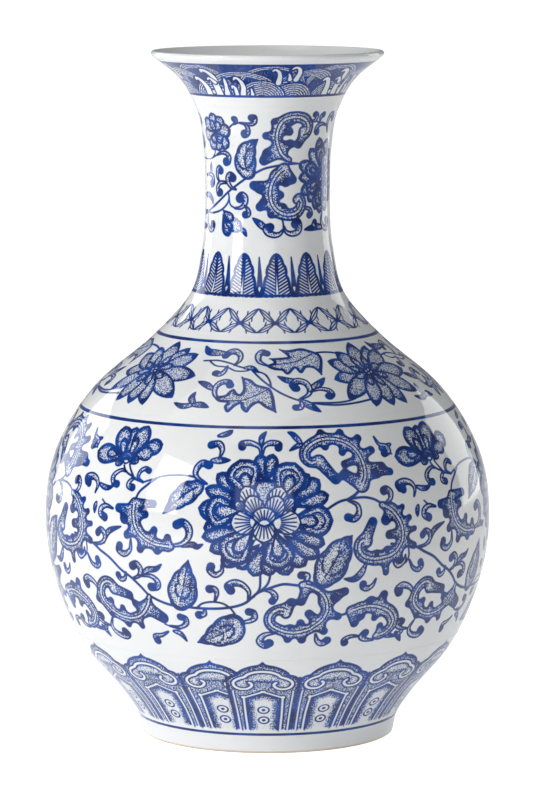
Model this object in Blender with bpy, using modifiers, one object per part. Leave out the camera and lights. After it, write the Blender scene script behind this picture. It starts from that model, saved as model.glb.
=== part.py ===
# Porcelain vase with a trumpet mouth, a narrow neck and a full belly, decorated in cobalt blue.
# Metres, +Z up, the foot stands on z = 0 and the axis is the Z axis. The front faces -Y.
# The body is four thrown sections luted with slip. The decoration is printed transfers and painted
# lines, which lie on the body like thin sleeves.

import math

import bpy

MM = 0.001

# Driving dimensions of the body, in millimetres.
HEIGHT = 330.0
WALL = 5.0
LIP_WALL = 2.6
LIP_TAPER = 28.0
FOOT_RIM_WIDTH = 5.0
FOOT_RECESS = 6.0
FLOOR_THICKNESS = 5.0
EDGE_CHAMFER = 0.8
FLOOR_FILLET = 9.0

# Outline of the glazed outside as (radius, height), from the foot up to the lip.
# The sixth point is the widest part of the belly.
OUTLINE = [
    (61.0, 0.0),
    (63.2, 9.5),
    (69.9, 20.0),
    (88.2, 42.0),
    (101.4, 70.0),
    (107.5, 104.0),
    (101.5, 140.0),
    (82.0, 170.0),
    (55.0, 193.0),
    (38.0, 212.0),
    (31.6, 235.0),
    (30.0, 265.0),
    (30.6, 283.0),
    (34.4, 303.0),
    (44.4, 319.0),
    (55.3, 327.5),
]
OUTLINE_STEPS = 2

# Heights where the thrown sections are luted together, and the slip between them.
FOOT_JOINT = 14.0
BELLY_JOINT = 104.0
NECK_JOINT = 206.0
SLIP_HEIGHT = 0.9
GAP = 0.3

# The transfers and lines, as (lowest, highest) on the outside of the vase.
TRANSFER_THICKNESS = 0.3
BODY_INSET = TRANSFER_THICKNESS + GAP
WAVE_BAND = (309.2, 325.8)
NECK_SCROLL_BAND = (240.0, 304.5)
LEAF_BAND = (214.6, 237.0)
LATTICE_BAND = (198.4, 211.0)
SHOULDER_SCROLL_BAND = (163.0, 194.2)
BELLY_SCROLL_BAND = (55.0, 158.8)
LOTUS_BAND = (11.2, 51.0)
LINE_HEIGHT = 1.2
SHOULDER_LINE = 195.2
BELLY_LINE = 159.9
FOOT_LINE = 9.6

# Where the sheets of a scroll meet, as degrees to the right of the front.
SCROLL_SEAM = 40.0
NECK_SEAM = 80.0

TURN_STEPS = 36
CAP_STEPS = 6
AXIS_MERGE = 0.00001


def clear_scene():
    for found in list(bpy.data.objects):
        bpy.data.objects.remove(found)


def make_material(name, color, roughness, coat=0.0):
    material = bpy.data.materials.new(name)
    material.use_nodes = True
    shader = material.node_tree.nodes["Principled BSDF"]
    shader.inputs["Base Color"].default_value = (*color, 1.0)
    shader.inputs["Roughness"].default_value = roughness
    shader.inputs["Metallic"].default_value = 0.0
    shader.inputs["Coat Weight"].default_value = coat
    return material


def porcelain(name):
    return make_material(name + "_porcelain", (0.86, 0.88, 0.87), 0.08, coat=1.0)


def slip(name):
    return make_material(name + "_slip", (0.80, 0.80, 0.77), 0.35)


def cobalt(name):
    return make_material(name + "_cobalt", (0.05, 0.12, 0.42), 0.12, coat=1.0)


def slopes():
    """Slope of the outline at each of its points, as radius over height."""
    rises = [upper[1] - lower[1] for lower, upper in zip(OUTLINE, OUTLINE[1:])]
    grades = [
        (upper[0] - lower[0]) / rise
        for lower, upper, rise in zip(OUTLINE, OUTLINE[1:], rises)
    ]
    inner = [
        (grades[i] * rises[i + 1] + grades[i + 1] * rises[i]) / (rises[i] + rises[i + 1])
        for i in range(len(grades) - 1)
    ]
    return [grades[0], *inner, grades[-1]]


def outline_levels():
    """(height, radius, slope) along the smooth outline, a few for each stretch."""
    grades = slopes()
    levels = []
    for i, ((r0, z0), (r1, z1)) in enumerate(zip(OUTLINE, OUTLINE[1:])):
        rise = z1 - z0
        for step in range(OUTLINE_STEPS):
            t = step / OUTLINE_STEPS
            radius = (
                (2 * t**3 - 3 * t**2 + 1) * r0
                + (t**3 - 2 * t**2 + t) * rise * grades[i]
                + (3 * t**2 - 2 * t**3) * r1
                + (t**3 - t**2) * rise * grades[i + 1]
            )
            grade = (
                (6 * t**2 - 6 * t) * (r0 - r1) / rise
                + (3 * t**2 - 4 * t + 1) * grades[i]
                + (3 * t**2 - 2 * t) * grades[i + 1]
            )
            levels.append((z0 + t * rise, radius, grade))
    levels.append((OUTLINE[-1][1], OUTLINE[-1][0], grades[-1]))
    return levels


LEVELS = outline_levels()


def sunk(level, depth):
    """The point that lies depth under the outside at one level, measured square to it."""
    height, radius, grade = level
    length = math.hypot(1.0, grade)
    return (radius - depth / length, height + depth * grade / length)


def skin_point(height, depth):
    for lower, upper in zip(LEVELS, LEVELS[1:]):
        if height <= upper[0]:
            share = (height - lower[0]) / (upper[0] - lower[0])
            (r0, z0), (r1, z1) = sunk(lower, depth), sunk(upper, depth)
            return (r0 + share * (r1 - r0), z0 + share * (z1 - z0))
    return sunk(LEVELS[-1], depth)


def stations(low, high):
    """Heights from low to high, with every level of the outline between them."""
    inside = [level[0] for level in LEVELS if low + 0.5 < level[0] < high - 0.5]
    return [low, *inside, high]


def skin(low, high, depth):
    return [skin_point(height, depth) for height in stations(low, high)]


def wall_at(height):
    share = min(1.0, max(0.0, (OUTLINE[-1][1] - height) / LIP_TAPER))
    return LIP_WALL + (WALL - LIP_WALL) * share


def inner_skin(low, high):
    return [skin_point(height, wall_at(height)) for height in stations(low, high)]


def round_cap(start, end):
    """A half circle from start to end, bulging to the left of that direction."""
    middle = ((start[0] + end[0]) / 2, (start[1] + end[1]) / 2)
    arm = (start[0] - middle[0], start[1] - middle[1])
    points = []
    for step in range(1, CAP_STEPS):
        angle = -math.pi * step / CAP_STEPS
        points.append(
            (
                middle[0] + arm[0] * math.cos(angle) - arm[1] * math.sin(angle),
                middle[1] + arm[0] * math.sin(angle) + arm[1] * math.cos(angle),
            )
        )
    return points


def add_object(name, points, edges, collection, material, azimuth=0.0):
    """A profile of (radius, height) points, standing on the ray at azimuth degrees from +X."""
    turn = math.radians(azimuth)
    mesh = bpy.data.meshes.new(name)
    mesh.from_pydata(
        [
            (radius * math.cos(turn) * MM, radius * math.sin(turn) * MM, height * MM)
            for radius, height in points
        ],
        edges,
        [],
    )
    piece = bpy.data.objects.new(name, mesh)
    piece.data.materials.append(material)
    collection.objects.link(piece)
    return piece


def turn_profile(piece, degrees=360.0):
    screw = piece.modifiers.new("turn", "SCREW")
    screw.axis = "Z"
    screw.angle = math.radians(degrees)
    screw.steps = round(TURN_STEPS * degrees / 360.0)
    screw.render_steps = screw.steps
    screw.use_smooth_shade = True
    screw.use_merge_vertices = degrees == 360.0
    screw.merge_threshold = AXIS_MERGE


def ring_piece(name, loop, collection, material):
    """A closed ring whose section is the loop, given down its outer side first."""
    count = len(loop)
    edges = [(i, (i + 1) % count) for i in range(count)]
    turn_profile(add_object(name, loop, edges, collection, material))


def bowl_piece(name, line, collection, material):
    """A solid of revolution whose outline starts and ends on the axis."""
    edges = [(i, i + 1) for i in range(len(line) - 1)]
    turn_profile(add_object(name, line, edges, collection, material))


def sleeve(name, band, collection, material, start=0.0, degrees=360.0):
    """A thin sheet on the outside of the vase, between two heights."""
    line = skin(*band, 0.0)[::-1]
    edges = [(i, i + 1) for i in range(len(line) - 1)]
    piece = add_object(name, line, edges, collection, material, azimuth=start)
    turn_profile(piece, degrees)
    thicken = piece.modifiers.new("thickness", "SOLIDIFY")
    thicken.thickness = TRANSFER_THICKNESS * MM
    thicken.offset = -1.0
    thicken.use_even_offset = True


def neck_section(collection):
    low = NECK_JOINT + SLIP_HEIGHT / 2 + GAP
    top = OUTLINE[-1][1]
    outer = skin(low, top, BODY_INSET)
    inner = inner_skin(low, top)
    lip = round_cap(inner[-1], outer[-1])
    crest = max(height for radius, height in lip)
    lift = HEIGHT - crest
    lip = [(radius, height + lift) for radius, height in lip]
    loop = lip + outer[::-1] + inner
    ring_piece("neck_section", loop, collection, porcelain("neck"))


def wall_section(name, low, high, collection):
    margin = SLIP_HEIGHT / 2 + GAP
    outer = skin(low + margin, high - margin, BODY_INSET)
    inner = inner_skin(low + margin, high - margin)
    ring_piece(name, outer[::-1] + inner, collection, porcelain(name))


def foot_section(collection):
    high = FOOT_JOINT - SLIP_HEIGHT / 2 - GAP
    outer = skin(LEVELS[1][0], high, BODY_INSET)
    wall_top = skin_point(high, WALL)
    rim = OUTLINE[0][0] - BODY_INSET
    floor_top = FOOT_RECESS + FLOOR_THICKNESS
    line = [
        (0.0, floor_top),
        (wall_top[0] - FLOOR_FILLET, floor_top),
        (wall_top[0] - FLOOR_FILLET / 3, (floor_top + 3 * wall_top[1]) / 4),
        wall_top,
        *outer[::-1],
        (rim, EDGE_CHAMFER),
        (rim - EDGE_CHAMFER, 0.0),
        (rim - FOOT_RIM_WIDTH, 0.0),
        (rim - FOOT_RIM_WIDTH - EDGE_CHAMFER, EDGE_CHAMFER),
        (rim - FOOT_RIM_WIDTH - 2 * EDGE_CHAMFER, FOOT_RECESS),
        (0.0, FOOT_RECESS),
    ]
    bowl_piece("foot_section", line, collection, porcelain("foot"))


def slip_joint(name, height, collection):
    low = height - SLIP_HEIGHT / 2
    high = height + SLIP_HEIGHT / 2
    outer = skin(low, high, BODY_INSET)
    inner = inner_skin(low, high)
    ring_piece(name, outer[::-1] + inner, collection, slip(name))


def scroll_sheets(name, band, count, seam, collection):
    """A scroll printed on equal sheets that meet at upright seams."""
    share = 360.0 / count
    for sheet in range(count):
        opening = math.degrees(GAP / OUTLINE[5][0])
        start = seam - 90.0 + sheet * share + opening / 2
        title = f"{name}_{sheet + 1}"
        sleeve(title, band, collection, cobalt(title), start, share - opening)


def painted_line(name, height, collection):
    band = (height - LINE_HEIGHT / 2, height + LINE_HEIGHT / 2)
    sleeve(name, band, collection, cobalt(name))


def build():
    clear_scene()
    vase = bpy.data.collections.new("porcelain_vase")
    bpy.context.scene.collection.children.link(vase)
    neck_section(vase)
    wall_section("shoulder_section", BELLY_JOINT, NECK_JOINT, vase)
    wall_section("belly_section", FOOT_JOINT, BELLY_JOINT, vase)
    foot_section(vase)
    slip_joint("neck_slip_joint", NECK_JOINT, vase)
    slip_joint("belly_slip_joint", BELLY_JOINT, vase)
    slip_joint("foot_slip_joint", FOOT_JOINT, vase)
    sleeve("wave_border_transfer", WAVE_BAND, vase, cobalt("wave_border"))
    scroll_sheets("neck_scroll_transfer", NECK_SCROLL_BAND, 2, NECK_SEAM, vase)
    sleeve("leaf_border_transfer", LEAF_BAND, vase, cobalt("leaf_border"))
    sleeve("lattice_border_transfer", LATTICE_BAND, vase, cobalt("lattice_border"))
    painted_line("shoulder_line", SHOULDER_LINE, vase)
    scroll_sheets("shoulder_scroll_transfer", SHOULDER_SCROLL_BAND, 4, SCROLL_SEAM, vase)
    painted_line("belly_line", BELLY_LINE, vase)
    scroll_sheets("belly_scroll_transfer", BELLY_SCROLL_BAND, 4, SCROLL_SEAM, vase)
    sleeve("lotus_panel_transfer", LOTUS_BAND, vase, cobalt("lotus_panel"))
    painted_line("foot_line", FOOT_LINE, vase)


build()
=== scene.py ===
# Porcelain vase: glazed body in luted sections, with a printed cobalt decoration.
# Places on the vase are (degrees to the right of the front, millimetres above the foot).
import math

import bmesh
import bpy
import numpy as np
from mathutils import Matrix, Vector


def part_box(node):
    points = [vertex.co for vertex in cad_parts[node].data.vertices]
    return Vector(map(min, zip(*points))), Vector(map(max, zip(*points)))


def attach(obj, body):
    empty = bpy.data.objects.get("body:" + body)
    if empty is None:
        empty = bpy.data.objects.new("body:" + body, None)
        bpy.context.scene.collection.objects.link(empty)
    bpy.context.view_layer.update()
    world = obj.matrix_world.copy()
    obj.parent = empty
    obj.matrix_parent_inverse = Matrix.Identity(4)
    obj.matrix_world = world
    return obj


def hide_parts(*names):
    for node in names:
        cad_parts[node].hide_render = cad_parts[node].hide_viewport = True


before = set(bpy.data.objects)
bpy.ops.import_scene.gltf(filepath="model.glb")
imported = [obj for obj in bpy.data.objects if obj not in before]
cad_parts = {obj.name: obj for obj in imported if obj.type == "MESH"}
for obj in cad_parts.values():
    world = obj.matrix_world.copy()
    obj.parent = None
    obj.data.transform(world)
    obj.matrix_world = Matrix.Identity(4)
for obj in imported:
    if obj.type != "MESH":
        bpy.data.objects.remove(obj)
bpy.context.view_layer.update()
mm = 0.001
mergeDistance = 0.002 * mm
sharpAngle = math.radians(40.0)
noInk = -3.0                 # ink where nothing is painted near
edgeMargin = 1.5             # millimetres painted round the edge of a motif

# The outside of the vase, as (radius, height) in millimetres from the foot up to the lip.
outline = {
    "points": [
        (61.0, 0.0), (63.2, 9.5), (69.9, 20.0), (88.2, 42.0), (101.4, 70.0), (107.5, 104.0),
        (101.5, 140.0), (82.0, 170.0), (55.0, 193.0), (38.0, 212.0), (31.6, 235.0), (30.0, 265.0),
        (30.6, 283.0), (34.4, 303.0), (44.4, 319.0), (55.3, 327.5),
    ],
    "height": 330.0,
    "tableStep": 0.25,
}


def outlineTable():
    radius, height = np.array(outline["points"]).T
    rise = np.diff(height)
    grade = np.diff(radius) / rise
    inner = (grade[:-1] * rise[1:] + grade[1:] * rise[:-1]) / (rise[1:] + rise[:-1])
    grade = np.concatenate([grade[:1], inner, grade[-1:]])
    levels = np.arange(0.0, height[-1] + outline["tableStep"], outline["tableStep"])
    levels[-1] = height[-1]
    i = np.clip(np.searchsorted(height, levels) - 1, 0, len(rise) - 1)
    t = (levels - height[i]) / rise[i]
    curve = (2 * t**3 - 3 * t**2 + 1) * radius[i] + (3 * t**2 - 2 * t**3) * radius[i + 1]
    curve += rise[i] * ((t**3 - 2 * t**2 + t) * grade[i] + (t**3 - t**2) * grade[i + 1])
    slope = np.gradient(curve, levels)
    steps = np.hypot(np.diff(levels), np.diff(curve))
    return levels, curve, slope, np.concatenate([[0.0], np.cumsum(steps)])


tableHeight, tableRadius, tableSlope, tableArc = outlineTable()


def radiusAt(height):
    return np.interp(height, tableHeight, tableRadius)


def arcAt(height):
    return np.interp(height, tableHeight, tableArc)


def degreeLength(height):
    return math.radians(1.0) * radiusAt(height)


def skinPoint(height, depth):
    # depth is measured square to the outside
    radius = np.interp(height, tableHeight, tableRadius)
    slope = np.interp(height, tableHeight, tableSlope)
    length = np.hypot(1.0, slope)
    return radius - depth / length, height + depth * slope / length


def skinLine(low, high, depth, step):
    count = max(2, round((arcAt(high) - arcAt(low)) / step) + 1)
    heights = np.interp(np.linspace(arcAt(low), arcAt(high), count), tableArc, tableHeight)
    radius, height = skinPoint(heights, depth)
    return list(zip(radius, height))


glazeFinish = {
    "white": (0.700, 0.715, 0.718, 1.0),
    "shadeWhite": (0.670, 0.690, 0.694, 1.0),
    "bareClay": (0.52, 0.40, 0.28, 1.0),
    "clayStrength": 0.8,
    "clayRoughness": 0.6,    # added to the roughness of the glaze
    "speck": (0.45, 0.44, 0.42, 1.0),
    "speckStrength": 0.35,
    "roughness": 0.045,
    "roughnessChange": 0.03,
    "ior": 1.5,
    "peelHeight": 0.02,      # millimetres
    "peelStrength": 0.35,
    "bareHeights": (0.7, 1.6),   # the foot is bare below the first and glazed above the second
    # repeats per metre
    "cloudScale": 22.0,
    "speckScale": 900.0,
    "glossScale": 60.0,
    "peelScale": 160.0,
}

cobaltFinish = {
    "deep": (0.0005, 0.0130, 0.1050, 1.0),
    "middle": (0.0020, 0.0500, 0.2700, 1.0),
    "pale": (0.11, 0.24, 0.52, 1.0),
    "dotSize": 0.64,
    "dotScatter": 0.9,
    "dotGrowth": (0.56, 0.32),   # how a dot widens with the shade, and its least width
    "edge": 0.16,
    "gain": 0.11,
    "bleed": 0.55,
    "bleedWash": 0.45,
    "shadeWash": 0.95,
    "densityScale": 130.0,
}


def newGroup(name, inputs, outputs):
    group = bpy.data.node_groups.new(name, "ShaderNodeTree")
    for title, kind, value in inputs:
        socket = group.interface.new_socket(title, in_out="INPUT", socket_type=kind)
        if value is not None:
            socket.default_value = value
    for title, kind in outputs:
        group.interface.new_socket(title, in_out="OUTPUT", socket_type=kind)
    return group, group.nodes.new("NodeGroupInput"), group.nodes.new("NodeGroupOutput")


def mathNode(tree, operation, first, second=None, third=None):
    node = tree.nodes.new("ShaderNodeMath")
    node.operation = operation
    for slot, value in enumerate((first, second, third)):
        if value is None:
            continue
        if isinstance(value, (int, float)):
            node.inputs[slot].default_value = value
        else:
            tree.links.new(value, node.inputs[slot])
    return node.outputs[0]


def mixColour(tree, factor, first, second):
    node = tree.nodes.new("ShaderNodeMix")
    node.data_type = "RGBA"
    for slot, value in ((0, factor), (6, first), (7, second)):
        if isinstance(value, (int, float, tuple)):
            node.inputs[slot].default_value = value
        else:
            tree.links.new(value, node.inputs[slot])
    return node.outputs[2]


def ramp(tree, value, low, high):
    node = tree.nodes.new("ShaderNodeMapRange")
    node.interpolation_type = "SMOOTHSTEP"
    tree.links.new(value, node.inputs["Value"])
    node.inputs["From Min"].default_value = low
    node.inputs["From Max"].default_value = high
    return node.outputs["Result"]


def noiseNode(tree, vector, scale, detail=2.0):
    node = tree.nodes.new("ShaderNodeTexNoise")
    tree.links.new(vector, node.inputs["Vector"])
    node.inputs["Scale"].default_value = scale
    node.inputs["Detail"].default_value = detail
    return node.outputs["Fac"]


def glazeGroup():
    # soft cloudiness of the white, faint orange peel and a little change in gloss
    group, start, end = newGroup(
        "porcelainGlaze",
        [("Vector", "NodeSocketVector", None), ("White", "NodeSocketColor", glazeFinish["white"]),
         ("Cloud", "NodeSocketColor", glazeFinish["shadeWhite"])],
        [("Color", "NodeSocketColor"), ("Roughness", "NodeSocketFloat"),
         ("Height", "NodeSocketFloat")],
    )
    vector = start.outputs["Vector"]
    cloud = ramp(group, noiseNode(group, vector, glazeFinish["cloudScale"], 3.0), 0.35, 0.75)
    white = mixColour(group, cloud, start.outputs["White"], start.outputs["Cloud"])
    speck = ramp(group, noiseNode(group, vector, glazeFinish["speckScale"], 0.0), 0.80, 0.84)
    speck = mathNode(group, "MULTIPLY", speck, glazeFinish["speckStrength"])
    speckled = mixColour(group, speck, white, glazeFinish["speck"])
    change = glazeFinish["roughnessChange"]
    gloss = noiseNode(group, vector, glazeFinish["glossScale"])
    gloss = mathNode(group, "MULTIPLY_ADD", gloss, change, glazeFinish["roughness"] - change / 2)
    peel = noiseNode(group, vector, glazeFinish["peelScale"], 1.0)
    group.links.new(speckled, end.inputs["Color"])
    group.links.new(gloss, end.inputs["Roughness"])
    group.links.new(peel, end.inputs["Height"])
    return group


def cobaltGroup():
    # Ink is the distance inside a painted edge in millimetres, Shade how closely it is stippled
    group, start, end = newGroup(
        "cobaltPrint",
        [("Vector", "NodeSocketVector", None), ("Ink", "NodeSocketFloat", 0.0),
         ("Shade", "NodeSocketFloat", 0.0), ("White", "NodeSocketColor", glazeFinish["white"])],
        [("Color", "NodeSocketColor")],
    )
    vector = start.outputs["Vector"]
    ink = start.outputs["Ink"]
    shade = start.outputs["Shade"]
    dots = group.nodes.new("ShaderNodeTexVoronoi")
    group.links.new(vector, dots.inputs["Vector"])
    dots.inputs["Scale"].default_value = 1.0 / (cobaltFinish["dotSize"] * mm)
    dots.inputs["Randomness"].default_value = cobaltFinish["dotScatter"]
    size = mathNode(group, "MULTIPLY_ADD", shade, *cobaltFinish["dotGrowth"])
    stipple = ramp(group, mathNode(group, "SUBTRACT", size, dots.outputs["Distance"]), -0.08, 0.10)
    stipple = mathNode(group, "MULTIPLY", stipple, ramp(group, shade, 0.02, 0.12))
    edge, gain = cobaltFinish["edge"], cobaltFinish["gain"]
    line = ramp(group, ink, -edge - gain, edge - gain)
    bleed = ramp(group, ink, -cobaltFinish["bleed"], 0.1)
    cover = mathNode(group, "MAXIMUM", line, stipple)
    bleedWash = mathNode(group, "MULTIPLY", bleed, cobaltFinish["bleedWash"])
    shadeWash = mathNode(group, "MULTIPLY", shade, cobaltFinish["shadeWash"])
    wash = mathNode(group, "MAXIMUM", bleedWash, shadeWash)
    density = noiseNode(group, vector, cobaltFinish["densityScale"], 3.0)
    density = ramp(group, density, 0.30, 0.72)
    blue = mixColour(group, density, cobaltFinish["deep"], cobaltFinish["middle"])
    ground = mixColour(group, wash, start.outputs["White"], cobaltFinish["pale"])
    colour = mixColour(group, cover, ground, blue)
    group.links.new(colour, end.inputs["Color"])
    return group


glazeNodes = glazeGroup()
cobaltNodes = cobaltGroup()


def glazedMaterial(name, printed=False, footRim=False):
    material = bpy.data.materials.new(name)
    material.use_nodes = True
    tree = material.node_tree
    shader = tree.nodes["Principled BSDF"]
    shader.inputs["IOR"].default_value = glazeFinish["ior"]
    place = tree.nodes.new("ShaderNodeTexCoord").outputs["Object"]
    glaze = tree.nodes.new("ShaderNodeGroup")
    glaze.node_tree = glazeNodes
    tree.links.new(place, glaze.inputs["Vector"])
    colour = glaze.outputs["Color"]
    roughness = glaze.outputs["Roughness"]
    if printed:
        cobalt = tree.nodes.new("ShaderNodeGroup")
        cobalt.node_tree = cobaltNodes
        tree.links.new(place, cobalt.inputs["Vector"])
        tree.links.new(colour, cobalt.inputs["White"])
        for title in ("ink", "shade"):
            read = tree.nodes.new("ShaderNodeAttribute")
            read.attribute_name = title
            tree.links.new(read.outputs["Fac"], cobalt.inputs[title.capitalize()])
        colour = cobalt.outputs["Color"]
    if footRim:
        # the ring that stands in the kiln is wiped clean of glaze
        split = tree.nodes.new("ShaderNodeSeparateXYZ")
        tree.links.new(place, split.inputs[0])
        low, high = glazeFinish["bareHeights"]
        glazed = ramp(tree, split.outputs["Z"], low * mm, high * mm)
        bare = mathNode(tree, "SUBTRACT", 1.0, glazed)
        clay = mathNode(tree, "MULTIPLY", bare, glazeFinish["clayStrength"])
        colour = mixColour(tree, clay, colour, glazeFinish["bareClay"])
        roughness = mathNode(tree, "MULTIPLY_ADD", bare, glazeFinish["clayRoughness"], roughness)
    bump = tree.nodes.new("ShaderNodeBump")
    bump.inputs["Distance"].default_value = glazeFinish["peelHeight"] * mm
    bump.inputs["Strength"].default_value = glazeFinish["peelStrength"]
    tree.links.new(glaze.outputs["Height"], bump.inputs["Height"])
    tree.links.new(bump.outputs["Normal"], shader.inputs["Normal"])
    tree.links.new(colour, shader.inputs["Base Color"])
    tree.links.new(roughness, shader.inputs["Roughness"])
    return material


whiteGlaze = glazedMaterial("whiteGlaze")
footGlaze = glazedMaterial("footGlaze", footRim=True)
slipGlaze = glazedMaterial("slipGlaze")
cobaltPrint = glazedMaterial("cobaltPrint", printed=True)


body = {
    "turnSteps": 256,
    "outerStep": 2.0,
    "innerStep": 4.0,
    "skinDepth": 0.05,       # the printed sheets lie this far proud of the porcelain
    "wall": 5.0,
    "lipWall": 2.6,
    "lipTaper": 28.0,
    "lipSteps": 10,
    "rimWidth": 5.0,
    "recess": 6.0,
    "floorTop": 11.0,
    "floorFillet": 9.0,
    "chamfer": 0.8,
    # the thin rings of slip between the sections, from their lower to their upper side
    "neckSlip": (205.55, 206.45),
    "bellySlip": (103.55, 104.45),
    "footSlip": (13.55, 14.45),
}


def wallAt(height):
    top = outline["points"][-1][1]
    share = np.clip((top - height) / body["lipTaper"], 0.0, 1.0)
    return body["lipWall"] + (body["wall"] - body["lipWall"]) * share


def innerLine(low, high):
    count = max(2, round((arcAt(high) - arcAt(low)) / body["innerStep"]) + 1)
    heights = np.interp(np.linspace(arcAt(low), arcAt(high), count), tableArc, tableHeight)
    radius, height = skinPoint(heights, wallAt(heights))
    return list(zip(radius, height))


def turnedPiece(name, line, material, nodeName, closed=True):
    # a section line of (radius, height) points, spun round the axis
    shape = bmesh.new()
    points = [shape.verts.new((0.0, -radius * mm, height * mm)) for radius, height in line]
    pairs = list(zip(points, points[1:]))
    if closed:
        pairs.append((points[-1], points[0]))
    for pair in pairs:
        shape.edges.new(pair)
    bmesh.ops.spin(
        shape, geom=shape.verts[:] + shape.edges[:], cent=(0, 0, 0), axis=(0, 0, 1),
        angle=math.tau, steps=body["turnSteps"], use_merge=True,
    )
    bmesh.ops.remove_doubles(shape, verts=shape.verts[:], dist=mergeDistance)
    bmesh.ops.recalc_face_normals(shape, faces=shape.faces[:])
    for face in shape.faces:
        face.smooth = True
    mesh = bpy.data.meshes.new(name)
    shape.to_mesh(mesh)
    shape.free()
    mesh.set_sharp_from_angle(angle=sharpAngle)
    mesh.materials.append(material)
    piece = bpy.data.objects.new(name, mesh)
    bpy.context.scene.collection.objects.link(piece)
    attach(piece, "root")
    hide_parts(nodeName)


def makeBody():
    neckLow, neckHigh = body["neckSlip"]
    bellyLow, bellyHigh = body["bellySlip"]
    footLow, footHigh = body["footSlip"]
    depth = body["skinDepth"]
    step = body["outerStep"]
    lipTop = outline["points"][-1][1]
    outer = skinLine(neckHigh, lipTop, depth, step)
    inner = innerLine(neckHigh, lipTop)
    lip = lipCurve(outer[-1], inner[-1])
    line = outer + lip + inner[::-1]
    turnedPiece("neckPorcelain", line, whiteGlaze, "neck_section")
    for title, low, high, nodeName in (
        ("shoulderPorcelain", bellyHigh, neckLow, "shoulder_section"),
        ("bellyPorcelain", footHigh, bellyLow, "belly_section"),
    ):
        line = skinLine(low, high, depth, step) + innerLine(low, high)[::-1]
        turnedPiece(title, line, whiteGlaze, nodeName)
    rim = outline["points"][0][0] - depth
    floor = body["floorTop"]
    wallTop = innerLine(footLow, footHigh)[0]
    line = [
        (0.0, floor),
        (wallTop[0] - body["floorFillet"], floor),
        (wallTop[0] - body["floorFillet"] * 0.5, floor + 0.45),
        (wallTop[0] - body["floorFillet"] * 0.2, floor + 1.4),
        wallTop,
        *skinLine(0.9, footLow, depth, 1.2)[::-1],
        (rim - 0.05, 0.45),
        (rim - body["chamfer"], 0.0),
        (rim - body["rimWidth"], 0.0),
        (rim - body["rimWidth"] - body["chamfer"], body["chamfer"]),
        (rim - body["rimWidth"] - 1.4, body["recess"] - 1.2),
        (rim - body["rimWidth"] - 2.6, body["recess"]),
        (0.0, body["recess"]),
    ]
    turnedPiece("footPorcelain", line, footGlaze, "foot_section", closed=False)
    for title, low, high, nodeName in (
        ("neckSlip", neckLow, neckHigh, "neck_slip_joint"),
        ("bellySlip", bellyLow, bellyHigh, "belly_slip_joint"),
        ("footSlip", footLow, footHigh, "foot_slip_joint"),
    ):
        line = skinLine(low, high, depth, step) + innerLine(low, high)[::-1]
        turnedPiece(title, line, slipGlaze, nodeName)
    print("body made")


def lipCurve(start, end):
    # a round roll over the mouth, lifted so that its crest is the top of the vase
    middle = ((start[0] + end[0]) / 2, (start[1] + end[1]) / 2)
    arm = (start[0] - middle[0], start[1] - middle[1])
    points = []
    for i in range(1, body["lipSteps"]):
        turn = math.pi * i / body["lipSteps"]
        points.append((
            middle[0] + arm[0] * math.cos(turn) - arm[1] * math.sin(turn),
            middle[1] + arm[0] * math.sin(turn) + arm[1] * math.cos(turn),
        ))
    lift = outline["height"] - max(height for radius, height in points)
    return [(radius, height + lift) for radius, height in points]


class Canvas:
    # the ink and the shade that the print material reads, for a grid of places on the vase
    def __init__(self, plan, start=-180.0, degrees=360.0, wrap=360.0, flare=False):
        low, high = plan["low"], plan["high"]
        step = plan["step"] * sheetMaking["step"]
        widest = max(radiusAt(np.linspace(low, high, 9)))
        meanRadius = (radiusAt((low + high) / 2) + widest) / 2
        self.start = start
        self.degrees = degrees
        self.wrap = wrap         # degrees after which every motif comes again
        self.flare = flare       # upright edges follow the widening of the vase
        self.turn = 0.0          # degrees that the next motifs are moved round the vase
        self.rows = max(4, round((arcAt(high) - arcAt(low)) / step))
        self.arc = np.linspace(arcAt(low), arcAt(high), self.rows + 1)
        self.height = np.interp(self.arc, tableArc, tableHeight)
        self.divide(round(math.radians(degrees) * meanRadius / step))

    def divide(self, columns):
        # an empty canvas with this many columns
        self.columns = columns
        self.azimuth = self.start + self.degrees * np.arange(columns + 1) / columns
        self.ink = np.full((self.rows + 1, columns + 1), noInk)
        self.shade = np.zeros_like(self.ink)

    def windows(self, azimuths, heights, margin):
        # every repeat of a motif: its rows and columns, and the flat millimetres round its middle
        azimuths = azimuths + self.turn
        midAzimuth = (azimuths.min() + azimuths.max()) / 2
        midHeight = (heights.min() + heights.max()) / 2
        lineScale = degreeLength(midHeight)
        rowScale = np.full(self.rows + 1, lineScale)
        if self.flare:
            lineScale, rowScale = degreeLength(heights), degreeLength(self.height)
        lineX = (azimuths - midAzimuth) * lineScale
        lineY = arcAt(heights) - arcAt(midHeight)
        reach = max(np.abs(lineX).max() + margin, 0.1) / rowScale.min()
        first = math.floor((self.azimuth[0] - midAzimuth - reach) / self.wrap)
        last = math.ceil((self.azimuth[-1] - midAzimuth + reach) / self.wrap)
        y = self.arc - arcAt(midHeight)
        rows = np.flatnonzero((y > lineY.min() - margin) & (y < lineY.max() + margin))
        found = []
        for turn in range(first, last + 1):
            offset = self.azimuth - midAzimuth - turn * self.wrap
            columns = np.flatnonzero(np.abs(offset) < reach)
            if len(columns) and len(rows):
                place = (slice(rows[0], rows[-1] + 1), slice(columns[0], columns[-1] + 1))
                x = offset[place[1]][None, :] * rowScale[place[0]][:, None]
                found.append((place, x, np.broadcast_to(y[place[0]][:, None], x.shape)))
        return found, lineX, lineY

    def lay(self, place, inside, ink, shade):
        # inside hides what was there before, and ink beyond it joins what is there
        self.ink[place] = np.where(inside, ink, np.maximum(self.ink[place], ink))
        self.shade[place] = np.where(inside, shade, self.shade[place])

    def join(self, place, ink):
        self.ink[place] = np.maximum(self.ink[place], ink)


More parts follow.
